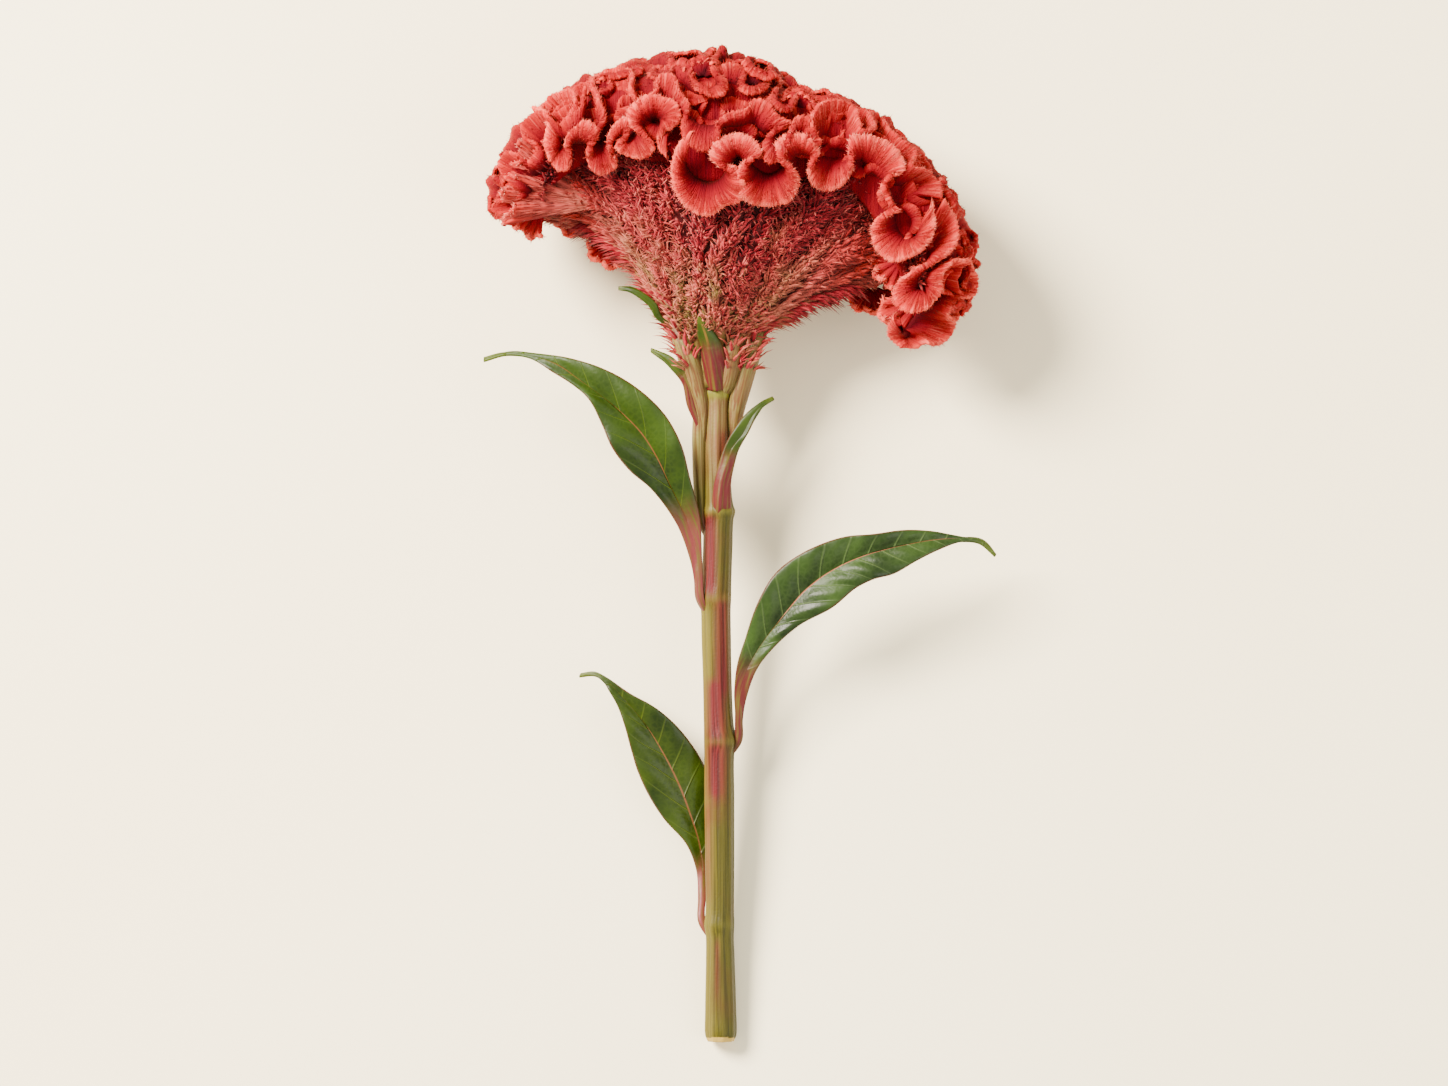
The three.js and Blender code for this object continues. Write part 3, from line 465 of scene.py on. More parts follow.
def layered(add, colour, layers):
    """Paints over a colour: each layer has its share of the surface, its strength and its paint."""
    for share, strength, paint in layers:
        if strength < 1:
            share = add("Math", {0: share, 1: strength}, operation="MULTIPLY")
        colour = add("Mix", {0: share, 6: colour, 7: paint}, 2, data_type="RGBA")
    return colour


def coated(material, add, skin):
    add("OutputMaterial", {"Surface": add("BsdfPrincipled", skin)})
    return material


def comb_velvet():
    """Real one: living comb tissue under a pile of fine hairs. To the eye: red velvet, coral on the
    fans, with painted shade nearly black in the throats and a painted highlight pale on the rims."""
    material, add = new_material("comb_velvet")
    rise = add("Attribute", out="Fac", attribute_name="rise")
    mm_lines, place = (add("TexCoord", out=kind) for kind in ("UV", "Object"))
    # Folds of 1.2 mm and hair lines of 0.45 mm run from the throat to the rim
    folds, lines = (
        add("TexNoise", {
            "Vector": add("Mapping", {"Vector": mm_lines, "Scale": (1 / wide, 1 / long, 1)}),
            "Scale": 1.0, "Detail": detail,
        }) for wide, long, detail in ((1.2, 14, 2.0), (0.45, 9, 1.0))
    )
    # Cooler patches of 25 mm and pile of 0.35 mm
    patches, pile = (
        add("TexNoise", {"Vector": place, "Scale": METRE / size, "Detail": detail})
        for size, detail in ((25, 2.0), (0.35, 1.0))
    )
    # Painted highlight: pale streaks along the hair lines, strongest out towards the rims
    sway, bright, outer, cool = (
        add("MapRange", {"Value": value, 1: low, 2: high, 3: start, 4: end})
        for value, low, high, start, end in (
            (folds, 0.3, 0.7, -0.13, 0.13), (lines, 0.52, 0.74, 0.0, 0.6),
            (rise, 0.55, 1.0, 0.0, 1.0), (patches, 0.45, 0.75, 0.0, 0.35),
        )
    )
    height = add("Math", {0: rise, 1: sway}, operation="ADD")
    height = add("Math", {0: height, 1: 0.8}, operation="MULTIPLY")
    # Painted shade and light: the ramp over rise runs from nearly black in the throats, where shade
    # falls, through coral on the fans to a pale painted highlight at the rims
    colour = add("ValToRGB", {"Fac": height}, stops=[
        (0.08, "#300108"), (0.24, "#52030e"), (0.4, "#6c0410"), (0.52, "#780710"),
        (0.64, "#8a0d10"), (0.76, "#aa1c1c"), (0.88, "#dc4c3c"),
    ])
    bright = add("Math", {0: bright, 1: outer}, operation="MULTIPLY")
    relief = add("Math", {0: folds, 1: lines}, operation="ADD")
    relief = add("Math", {0: pile, 1: 0.8, 2: relief}, operation="MULTIPLY_ADD")
    return coated(material, add, {
        "Base Color": layered(add, colour, ((bright, 1, "#ee6c5c"), (cool, 1, "#7c061a"))),
        "Roughness": 0.8, "Specular IOR Level": 0.06,
        "Normal": add("Bump", {"Height": relief, "Distance": 0.0005, "Strength": 0.8}),
        "Sheen Weight": 0.06, "Sheen Roughness": 0.4, "Sheen Tint": "#ff5a3c",
    })


def comb_hair():
    """Real one: the papillae that fringe the rims and nap the folds, thin and juicy. To the eye:
    a bright frill of coral bristles with paler tips. Its ramp follows rise, so it carries the
    same painted shade deeper in and painted highlight at the rims as the velvet."""
    material, add = new_material("comb_hair")
    rise = add("Attribute", out="Fac", attribute_name="rise")
    place = add("TexCoord", out="Object")
    # Each hair its own shade: patches of 1 mm
    own = add("TexNoise", {"Vector": place, "Scale": METRE / 1, "Detail": 1.0})
    own = add("MapRange", {"Value": own, 1: 0.3, 2: 0.7, 3: -0.12, 4: 0.12})
    height = add("Math", {0: rise, 1: own}, operation="ADD")
    height = add("Math", {0: height, 1: 0.75}, operation="MULTIPLY")
    # Painted shade deeper in, up to a painted highlight at the rims, following rise
    colour = add("ValToRGB", {"Fac": height}, stops=[
        (0.1, "#240004"), (0.34, "#48020a"), (0.52, "#76080d"), (0.68, "#a81a18"),
        (0.8, "#d44038"), (0.92, "#f08070"),
    ])
    return coated(material, add, {
        "Base Color": colour, "Roughness": 0.55, "Specular IOR Level": 0.15,
        "Sheen Weight": 0.05, "Sheen Tint": "#ff8a70",
    })


def flank_tissue():
    """Real one: dry florets and papery bracts on fleshy spines. To the eye: feathery, crimson
    under the comb, rose and tan on the wings, straw at the neck, with painted shade dark in the
    gaps."""
    material, add = new_material("flank_papery_bract")
    climb, wing, shade, tip = (
        add("Attribute", out="Fac", attribute_name=value)
        for value in ("climb", "wing", "shade", "tip")
    )
    place = add("TexCoord", out="Object")
    # Patches of 7 mm and grain of 0.7 mm
    patches, grain = (
        add("TexNoise", {"Vector": place, "Scale": METRE / size, "Detail": detail})
        for size, detail in ((7, 3.0), (0.7, 2.0))
    )
    # deep is the share of painted shade, taken from the shade value; ends marks the pale tips
    sway, deep, ends = (
        add("MapRange", {"Value": value, 1: low, 2: high, 3: start, 4: end})
        for value, low, high, start, end in (
            (patches, 0.3, 0.7, -0.2, 0.2), (shade, 0.0, 0.55, 1.0, 0.0),
            (tip, 0.4, 1.0, 0.0, 0.75),
        )
    )
    level = add("Math", {0: climb, 1: sway}, operation="ADD")
    colour, wings = (add("ValToRGB", {"Fac": value}, stops=stops) for value, stops in (
        (level, [(0.0, "#4e460a"), (0.14, "#70582a"), (0.28, "#8e5038"), (0.42, "#983c30"),
                 (0.58, "#961e28"), (0.78, "#820a1a"), (0.95, "#780512")]),
        (climb, [(0.15, "#7a5a2c"), (0.4, "#94503c"), (0.7, "#983a32"), (0.95, "#a82219")]),
    ))
    colour = layered(add, colour, [(wing, 0.85, wings)])
    # Painted shade: where the shade value is low, in the gaps, the colour is multiplied darker
    dark = add("Mix", {0: 1.0, 6: colour, 7: "#501218"}, 2, data_type="RGBA", blend_type="MULTIPLY")
    return coated(material, add, {
        "Base Color": layered(add, colour, ((deep, 1, dark), (ends, 1, "#de7464"))),
        "Roughness": 0.62, "Specular IOR Level": 0.15,
        "Normal": add("Bump", {"Height": grain, "Distance": 0.0002, "Strength": 0.5}),
        "Sheen Weight": 0.05,
    })


def leaf_blade(name, veining, dark, bright, veins, rib, stalk, edge):
    """Real one: a fresh leaf under a waxy cuticle. To the eye: deep green with a soft gloss,
    paler veins, a coloured midrib and a thin coloured margin."""
    material, add = new_material(name)
    veined, margin, ribbed, stem_end, tip = (
        add("Attribute", out="Fac", attribute_name=value)
        for value in ("veined", "margin", "ribbed", "stalk", "tip")
    )
    mm_lines, place = (add("TexCoord", out=kind) for kind in ("UV", "Object"))
    # U is mm along the midrib and V mm aside: side veins leave it at even spaces, half a space
    # apart on the two sides, and fade from 0.1 to 0.5 mm away; the midrib is 0.7 mm wide
    spacing, forward = veining
    along = add("SeparateXYZ", {"Vector": mm_lines}, out="X")
    aside = along.node.outputs["Y"]
    away = add("Math", {0: aside}, operation="ABSOLUTE")
    back = add("Math", {0: away, 1: -forward, 2: along}, operation="MULTIPLY_ADD")
    turn = add("Math", {0: aside, 1: 0.0}, operation="GREATER_THAN")
    turn = add("Math", {0: turn, 1: 0.5}, operation="MULTIPLY")
    beat = add("Math", {0: back, 1: 1 / spacing, 2: turn}, operation="MULTIPLY_ADD")
    near = add("Math", {0: beat, 1: 0.5}, operation="PINGPONG")
    # A net of 1.7 mm meshes between the veins
    mesh = add("TexVoronoi", {"Vector": place, "Scale": METRE / 1.7}, feature="DISTANCE_TO_EDGE")
    vein, midrib, net = (
        add("Math", {
            0: add("MapRange", {"Value": value, 1: low, 2: high, 3: 1.0, 4: 0.0}), 1: where,
        }, operation="MULTIPLY") for value, low, high, where in (
            (near, 0.1 / spacing, 0.5 / spacing, veined), (away, 0.2, 0.5, ribbed),
            (mesh, 0.0, 0.3, veined),
        )
    )
    # Blotches of 16 mm, cells of 1.3 mm, streaks of 0.9 mm by 14 mm on the petiole
    streaks = add("Mapping", {"Vector": mm_lines, "Scale": (1 / 14, 1 / 0.9, 1)})
    mottle, cells, streaks = (
        add("TexNoise", {"Vector": vector, "Scale": scale, "Detail": detail})
        for vector, scale, detail in (
            (place, METRE / 16, 4.0), (place, METRE / 1.3, 2.0), (streaks, 1.0, 2.0))
    )
    colour = add("ValToRGB", {"Fac": mottle}, stops=[(0.32, dark), (0.7, bright)])
    petiole = add("ValToRGB", {"Fac": streaks}, stops=[(0.46, stalk), (0.7, "#504816")])
    colour = layered(add, colour, (
        (cells, 0.22, bright), (tip, 0.6, "#4c5612"), (net, 0.1, veins), (vein, 0.45, veins),
        (midrib, 0.9, rib), (stem_end, 1, petiole), (margin, 0.8, edge),
    ))
    relief = add("Math", {0: cells, 1: 0.4, 2: vein}, operation="MULTIPLY_ADD")
    relief = add("Math", {0: net, 1: -0.2, 2: relief}, operation="MULTIPLY_ADD")
    return coated(material, add, {
        "Base Color": colour, "Specular IOR Level": 0.2,
        "Roughness": add("MapRange", {"Value": mottle, 1: 0.3, 2: 0.7, 3: 0.32, 4: 0.48}),
        "Normal": add("Bump", {"Height": relief, "Distance": 0.0003, "Strength": 0.6}),
    })


def stem_rind():
    """Real one: the stem's green rind, ribbed and waxy. To the eye: straw green with fine
    lengthwise lines, painted lighter on one side and darker and greener on the other as painted
    light and shade, flushed wine red in places, cream where it is cut."""
    material, add = new_material("stem_rind")
    flush, joint, cut, rib, neck, across, along, deep = (
        add("Attribute", out="Fac", attribute_name=value)
        for value in ("flush", "joint", "cut", "rib", "neck", "across", "along", "deep")
    )
    # Millimetres about the rod's own axis: lines of 0.7 mm by 50 mm, bands of 3 mm by 70 mm,
    # clouding of 14 mm and specks of 0.6 mm
    place = add("CombineXYZ", {"X": across, "Y": along, "Z": deep})
    lines, bands = (
        add("Mapping", {"Vector": place, "Scale": (1 / wide, 1 / long, 1 / wide)})
        for wide, long in ((0.7, 50), (3, 70))
    )
    lines, bands, cloud, specks = (
        add("TexNoise", {"Vector": vector, "Scale": scale, "Detail": detail})
        for vector, scale, detail in (
            (lines, 1.0, 3.0), (bands, 1.0, 2.0), (place, 1 / 14, 3.0), (place, 1 / 0.6, 2.0))
    )
    colour, pink, straw = (add("ValToRGB", {"Fac": lines}, stops=stops) for stops in (
        [(0.4, "#2e2a00"), (0.5, "#3e3902"), (0.6, "#524b08")],
        [(0.38, "#3a0408"), (0.62, "#661a1c")],
        [(0.38, "#5c3a20"), (0.47, "#665a26"), (0.56, "#7e7240"), (0.66, "#74502e")],
    ))
    # Painted light on one side of each rod and painted shade on the other side, across its width;
    # the neck takes less of the shade
    painted_shade_side, painted_light_side, flushed, tinge, on_stem, blush = (
        add("MapRange", {"Value": value, 1: low, 2: high, 3: start, 4: end})
        for value, low, high, start, end in (
            (across, -1.5, 4.0, 0.0, 0.75), (across, -4.0, -1.0, 0.6, 0.0),
            (bands, 0.35, 0.6, 0.6, 1.0), (cloud, 0.5, 0.7, 0.0, 0.3),
            (neck, 0.2, 1.0, 1.0, 0.35), (cloud, 0.42, 0.6, 0.0, 0.4),
        )
    )
    neck_pink = add("Math", {0: neck, 1: 2.0}, operation="POWER")
    flushed, painted_shade_side, blush = (
        add("Math", {0: one, 1: other}, operation="MULTIPLY")
        for one, other in ((flush, flushed), (painted_shade_side, on_stem), (neck_pink, blush))
    )
    colour = layered(add, colour, (
        (painted_light_side, 1, "#6e6222"), (neck, 0.9, straw), (blush, 1, "#6a2c26"),
        (painted_shade_side, 1, "#2a2c00"), (rib, 0.15, "#746a26"), (tinge, 1, "#4e2410"),
        (flushed, 1, pink), (joint, 1, "#6c681c"), (specks, 0.12, "#22240a"), (cut, 1, "#bc9c48"),
    ))
    relief = add("Math", {0: specks, 1: 0.3, 2: lines}, operation="MULTIPLY_ADD")
    return coated(material, add, {
        "Base Color": colour, "Roughness": 0.45, "Specular IOR Level": 0.2,
        "Normal": add("Bump", {"Height": relief, "Distance": 0.0004, "Strength": 0.6}),
    })


def studio_floor():
    """Real one: a sheet of matt background paper. To the eye: plain warm white."""
    material, add = new_material("floor_paper")
    place = add("TexCoord", out="Object")
    # Clouding of 300 mm
    cloud = add("TexNoise", {"Vector": place, "Scale": METRE / 300, "Detail": 2.0})
    colour = add("ValToRGB", {"Fac": cloud}, stops=[(0.3, "#fdefc8"), (0.7, "#fff5d2")])
    return coated(material, add, {
        "Base Color": colour, "Roughness": 0.9, "Specular IOR Level": 0.2})


VELVET = comb_velvet()
HAIR = comb_hair()
FLANK = flank_tissue()
# Spacing of the side veins in mm and how far forward they run; then the colours dark, bright,
# veins, midrib, petiole and margin
BLADES = {
    "dark": ((11.5, 1.7), "#081402", "#263a00", "#4a5a10", "#683a1c", "#5e2424", "#5a2420"),
    "pale": ((8, 1.0), "#0a1804", "#2a4010", "#586a3c", "#92543e", "#4c1a18", "#5a2620"),
    "low": ((9, 1.2), "#0e1c02", "#2c3c00", "#4c5814", "#6a4024", "#6e2e2c", "#562820"),
    "young": ((9, 1.5), "#122202", "#2e3e00", "#4c5814", "#64481a", "#521618", "#5a201e"),
}
BLADE_MATERIALS = {kind: leaf_blade("leaf_blade_" + kind, *look) for kind, look in BLADES.items()}
RIND = stem_rind()

# Crest: the levels of a ribbon from its root to its rim, then sizes in millimetres

LEVELS = np.array([0.06, 0.18, 0.3, 0.42, 0.54, 0.66, 0.77, 0.86, 0.94, 1.0])
FAR_LEVELS = LEVELS[1::2]
RUFFLE_DEPTH, ROOT_WINDOW = 10, 14
SPREAD, FLARE = 1.2, 1.45
THROAT_THICKNESS, LIP_THICKNESS, LIP_ROLL = 2.2, 1.3, 0.9
RIB_PITCH, RIB_DRIFT = 1.3, 4
LOBE_LENGTH, CRIMP_LENGTH, PLEAT_LENGTH = 6.5, 5, 1.8
NAP_WIDTH = 7


def thickness_at(level):
    return THROAT_THICKNESS + (LIP_THICKNESS - THROAT_THICKNESS) * level


def face_normal(sheet):
    return unit(np.cross(np.gradient(sheet, axis=0), np.gradient(sheet, axis=1)))


class Ruffle:
    """A ribbon of comb tissue from a smooth hidden root line out to its winding rim. With a
    middle it is a fan about that point. Its painted shade is how much darker it is painted than
    the front rims, as for rows lying deeper in shade; below zero it is painted lighter."""

    def __init__(self, rim, step, sink=0.0, uneven=0.5, levels=LEVELS, middle=None):
        self.rim = evenly_along(rim, step)
        self.step, self.sink, self.levels = step, sink, levels
        count, reach = len(self.rim), round(ROOT_WINDOW / step)
        length = count * step
        if middle is None:
            lobes = wander(length, LOBE_LENGTH, count) - 0.5
            self.rim += dome_normal(self.rim) * (uneven * lobes)[:, None]
            root = smoothed(smoothed(self.rim, reach), reach)
            index, _, _ = beside_arch(root)
            sunk = np.minimum(RUFFLE_DEPTH, WHOLE_ARCH.high[index] * 0.8)[:, None]
            root = root - dome_normal(root) * sunk
            normal, steepness = dome_normal(root), 0.6
        else:
            root = middle + (smoothed(self.rim, reach // 2) - middle) * 0.08
            normal, steepness = unit(root - middle), 1.3
        span = self.rim - root
        up = normal * dot(span, normal)
        t = levels[None, :, None]
        sheet = root[:, None] + up[:, None] * np.sin(np.pi * t / 2) ** steepness
        sheet += ((span - up) * SPREAD)[:, None] * t**FLARE
        sheet -= normal[:, None] * LIP_ROLL * smoothstep(t, 0.72, 1)
        crimp = 0.42 * wander(length, CRIMP_LENGTH, count)
        crimp = crimp + 0.18 * wander(length, PLEAT_LENGTH, count)
        sheet += face_normal(sheet) * (crimp[:, None] * levels[None] ** 2.5)[..., None]
        self.sheet, self.normal = sheet, face_normal(sheet)
        marks = np.arange(count) * step / RIB_PITCH + 0.8 * wander(length, RIB_DRIFT, count)
        self.ridge = np.abs(np.sin(np.pi * marks))
        self.tip = unit(sheet[:, -1] - sheet[:, -3])

    def solid(self):
        """Rings round the ribbon, over its back, a rounded rim and its front; how far out they
        lie, less the painted shade, and their place in mm along and across it."""
        half = thickness_at(self.levels[None, :]) / 2
        half = half * (0.85 + 0.3 * self.ridge[:, None] * self.levels[None, :])
        offset = self.normal * half[..., None]
        crown = []
        for turn in np.radians([45, 90, 135]):
            lift = np.sin(turn) * (half[:, -1] * 1.1 + 0.45 * self.ridge)[:, None]
            crown.append(self.sheet[:, -1] + self.tip * lift - offset[:, -1] * np.cos(turn))
        back, front = self.sheet - offset, (self.sheet + offset)[:, ::-1]
        rings = np.concatenate([back, np.stack(crown, axis=1), front], axis=1)
        # Painted highlight on the rounded rim, set above one; the painted shade is taken off every
        # ring
        rise = np.concatenate([self.levels, [1.04, 1.08, 1.04], self.levels[::-1]]) - self.sink
        along = np.arange(len(rings)) * self.step
        across = travelled(rings[len(rings) // 2])
        lines = np.stack(np.broadcast_arrays(along[:, None], across[None, :]), axis=-1)
        return rings, np.broadcast_to(rise, rings.shape[:2]), lines

    def fringe(self, pitch, length, spread):
        """Hairs along the rim: foot, direction, over, length and rise."""
        count = int(len(self.rim) * self.step / pitch)
        k = dice.integers(0, len(self.rim), count)
        sway = dice.uniform(-1, 1, count)[:, None]
        over = self.normal[k, -1]
        foot = self.sheet[k, -1] + over * sway * LIP_THICKNESS * 0.42 + self.tip[k] * 0.2
        reach = unit(self.tip[k] + over * sway * spread + dice.normal(0, 0.16, (count, 3)))
        return foot, reach, over, dice.uniform(*length, count), np.ones(count) - self.sink

    def nap(self, spacing, length):
        """Hairs that lie along both faces, out towards the rim."""
        count = int(len(self.rim) * self.step * 2 * NAP_WIDTH / spacing**2)
        k = dice.integers(1, len(self.rim) - 1, count)
        level = 4 + (dice.uniform(0, 1, count) ** 0.7 * (len(self.levels) - 5)).astype(int)
        face = np.where(dice.uniform(0, 1, count) < 0.5, -1, 1)[:, None]
        spot, below = self.sheet[k, level], self.sheet[k, level - 1]
        outward = self.normal[k, level] * face
        slide = (spot - below) * dice.uniform(0, 1, (count, 1))
        half = thickness_at(self.levels[level])[:, None] / 2
        foot = spot + outward * half * 0.95 - slide
        reach = unit(spot - below) + outward * dice.uniform(0.15, 0.45, (count, 1))
        reach = unit(reach + dice.normal(0, 0.1, (count, 3)))
        return foot, reach, outward, dice.uniform(*length, count), self.levels[level] - self.sink


def join_ruffles(name, ruffles):
    points, rises, lines, faces = [], [], [], []
    for ruffle in ruffles:
        rings, rise, line = ruffle.solid()
        first = sum(map(len, points))
        own_points, own_faces = lofted(rings)
        faces += [[corner + first for corner in face] for face in own_faces]
        points.append(own_points)
        rises.append(rise.ravel())
        lines.append(line.reshape(-1, 2))
    return new_piece(name, np.concatenate(points), faces, VELVET, "flower_crest",
                     {"rise": np.concatenate(rises)}, np.concatenate(lines))


def join_hairs(name, sets, width):
    foot, reach, over, length, rise = (np.concatenate(parts) for parts in zip(*sets))
    points, faces = many_copies(*HAIR_PATTERN, foot, reach, over, length, width)
    at_tip = np.tile(HAIR_PATTERN[0][:, 1], len(foot)) * 0.2
    rise = np.repeat(rise, len(HAIR_PATTERN[0])) + at_tip
    return new_piece(name, points, faces, HAIR, "flower_crest", {"rise": rise})


def core_fullness(rise):
    """The core's share of the dome, for the cosine of the angle from the top."""
    return 0.8 + 0.13 * smoothstep(rise, 0.2, 0.8)


def comb_core():
    """The body that the ruffles stand on, tucked in below and narrowing to both ends."""
    shares = np.linspace(0, 1, 121)
    arch = Arch(shares)
    end = np.minimum(np.minimum(shares, 1 - shares) * 9, 1)
    size = np.sqrt(1 - (1 - end) ** 2 * 0.8)
    rings = []
    for turn in 2 * np.pi * np.arange(48) / 48:
        rise, wide = math.cos(turn), math.sin(turn)
        if rise < 0:
            under = math.sqrt(1 - UNDERSIDE_TUCK * rise**2)
            wide = math.copysign(under * min(1, abs(wide) * 2.2), wide)
        full = core_fullness(rise)
        rings.append(cross_point(arch, arch.high * full * size * rise, (full + 0.06) * size * wide))
    points, faces = lofted(np.stack(rings, axis=1))
    # Its rise of 0.42 paints it the dark red of the throats, as painted shade
    return new_piece("crest_core", points, faces, VELVET, "flower_crest",
                     {"rise": np.full(len(points), 0.42)}, points[:, :2])


def core_nap(count):
    """Short hairs on the core between the ruffles."""
    share = dice.uniform(0.01, 0.99, count)
    arch = Arch(share)
    angle = dice.uniform(-2.1, 2.1, count)
    full = core_fullness(np.cos(angle))
    foot = cross_point(arch, arch.high * full * np.cos(angle), (full + 0.06) * np.sin(angle))
    out = unit(foot - arch.centre + dice.normal(0, 6, (count, 3)))
    # Their rise paints them the darker red deep between the folds, as painted shade
    rise = dice.uniform(0.45, 0.65, count)
    return foot, out, arch.along, dice.uniform(0.5, 1.2, count), rise


def tuft(px, py, depth, radius, begin, end, fall, sink=-0.2):
    """A small fan of comb tissue that opens over an arc, its rim winding in depth."""
    middle = from_photo(px, py, depth)
    number = np.arange(29)
    turns = np.radians(np.linspace(begin, end, 29))
    winding = fall + min(2.4, radius * 0.17) * np.sin(number * 1.25 + px)
    wide = radius * (1 + 0.07 * np.sin(number * 0.8 + py))
    rim = middle + np.stack([wide * np.cos(turns), wide * np.sin(turns), winding], axis=1)
    # Unless told otherwise a tuft is painted lighter, against the shade of the hollow it fills
    return Ruffle(rim, FAR_STEP, sink, middle=middle)


HAIR_PATTERN = hair_pattern()
BRACT_PATTERN = bract_pattern()

FINE_STEP, FAR_STEP, BACK_STEP = 0.34, 0.58, 0.9
# The number after each rim is its painted shade: how much darker it is painted
lower_ruffles, upper_ruffles = (
    [Ruffle(traced_rim(rim), FINE_STEP, sink) for rim, sink in rims] for rims in (
        ((LOWER_LIPS_LEFT, 0.02), (LOWER_LIPS_RIGHT, -0.06), (RIGHT_TUFT_LIPS, 0.02)),
        ((MIDDLE_LIPS, 0.1), (UPPER_LIPS, 0.15)),
    )
)
# Step, painted shade, unevenness and levels; the fillers below are painted darker still, as they
# lie in shade
top_row, back_row = (FAR_STEP, 0.18, 1.6, LEVELS), (BACK_STEP, 0.18, 1.6, FAR_LEVELS)
far_ruffles = [
    Ruffle(meander_rim(*row), *settings)
    for row, settings in zip(MEANDER_ROWS, [top_row] * 2 + [back_row] * 3 + [top_row])
]
fillers = [Ruffle(meander_rim(*row), BACK_STEP, 0.2, 0.5, FAR_LEVELS) for row in FILLER_ROWS]
back_tufts, end_tufts, top_tufts = (
    [tuft(*numbers) for numbers in rows] for rows in (BACK_TUFTS, END_TUFTS, TOP_TUFTS)
)
lower_ruffles += end_tufts
upper_ruffles += top_tufts
front_ruffles = lower_ruffles + upper_ruffles
top_ruffles = far_ruffles[:2] + far_ruffles[5:]
back_ruffles = far_ruffles[2:5] + back_tufts

comb_core()
for part, ruffles in (
    ("ruffles_lower", lower_ruffles), ("ruffles_upper", upper_ruffles),
    ("ruffles_top", top_ruffles), ("ruffles_back", back_ruffles),
    ("fillers_front", fillers[:5]), ("fillers_back", fillers[5:]),
):
    join_ruffles("crest_" + part, ruffles)
for part, ruffles, pitch, length, spread, width in (
    ("front", front_ruffles, 0.15, (0.7, 1.8), 0.8, 0.24),
    ("top", top_ruffles, 0.2, (0.7, 1.7), 0.8, 0.28),
    ("back", back_ruffles, 0.4, (0.6, 1.4), 0.7, 0.4),
    ("fillers", fillers, 0.45, (0.6, 1.4), 0.7, 0.36),
):
    join_hairs("crest_fringe_" + part, [r.fringe(pitch, length, spread) for r in ruffles], width)
for part, ruffles, spacing, length, width in (
    ("front", front_ruffles, 1.15, (0.8, 1.6), 0.2),
    ("top", top_ruffles + back_ruffles, 1.9, (0.8, 1.5), 0.3),
):
    join_hairs("crest_nap_" + part, [r.nap(spacing, length) for r in ruffles], width)
join_hairs("crest_nap_core", [core_nap(4000)], 0.32)

# Flank

FLANK_FOOT_X, FLANK_FOOT_WIDE, FLANK_FOOT_DEEP, FLANK_FOOT_Y = -2.4, 6, 4.6, 196
FLUTES, FLUTE_DEPTH, PLUMES, PLUME_HEIGHT = 18, 0.07, 28, 2.8
# Shares of the arch where the fan begins and that it spans, and of its height that it tucks under
FAN_START, FAN_SPAN, FAN_TUCK = 0.03, 0.87, 0.45
plume_draw = dice.uniform(0, 1, (2, PLUMES + 1))


def fan_skin(turn, v):
    """A point of the fan's skin: turn runs round it, v from the foot to the top."""
    turn, v = np.broadcast_arrays(np.atleast_1d(turn).astype(float), v)
    across = np.cos(turn)
    arch = Arch(FAN_START + FAN_SPAN * (1 - across) / 2)
    top = arch.centre - arch.outward * (arch.high * FAN_TUCK)[:, None]
    flute = 1 + FLUTE_DEPTH * v * np.cos(FLUTES * turn)
    low = np.maximum(v, 0)
    edge_rise = np.where(across > 0, 1 - (1 - np.minimum(low, 1)) ** 2.1, low**0.5)
    rise = low**0.9 + (edge_rise - low**0.9) * np.abs(across) ** 1.5
    swell = 3 * across * smoothstep(v, 0, 0.2) * (1 - v)
    foot_x = FLANK_FOOT_X - across * FLANK_FOOT_WIDE
    x = foot_x + (top[:, 0] - foot_x) * low**1.5 - swell
    y = FLANK_FOOT_Y + (top[:, 1] - FLANK_FOOT_Y) * rise
    half = FLANK_FOOT_DEEP + (arch.deep * 0.76 - FLANK_FOOT_DEEP) * low**1.25
    return np.stack([x, y, np.sin(turn) * half * flute], axis=1)


def fan_frame(turn, v):
    """Foot, way up, way round and way out on the fan's skin."""
    up = unit(fan_skin(turn, np.minimum(v + 0.02, 1)) - fan_skin(turn, np.maximum(v - 0.02, 0)))
    round_way = unit(fan_skin(turn + 0.03, v) - fan_skin(turn - 0.03, v))
    return fan_skin(turn, v), up, round_way, unit(np.cross(round_way, up))


def plumes_at(turn, v):
    """Which plume a point lies on, and how far round from its middle, from -1 to 1."""
    place = turn * PLUMES / (2 * np.pi) + 0.45 * np.sin(5 * v + 3 * np.sin(2 * turn))
    place = place + 0.2 * np.sin(17 * v + 11 * turn)
    return np.floor(place).astype(int) % PLUMES, 2 * (place - np.floor(place)) - 1


def wing_share(turn):
    return smoothstep(np.abs(np.cos(turn)), 0.5, 0.95)


def plume_rise(turn, v):
    """How high the plumes stand above the fan's skin."""
    index, side = plumes_at(turn, v)
    tall = PLUME_HEIGHT * (0.7 + 0.6 * plume_draw[0][index]) * (1 - 0.15 * wing_share(turn))
    return tall * (1 - side**2) * smoothstep(v, 0.02, 0.35) * (1 - smoothstep(v, 0.8, 1))


def flank_piece(name, points, faces, climb, wing, shade, tip):
    """A piece of the flank: how high it grows, how far out on the wings, how open to the light,
    which sets its painted shade, and how pale its tips."""
    values = {"climb": climb, "wing": wing, "shade": shade, "tip": tip}
    return new_piece(name, points, faces, FLANK, "flower_flank", values)


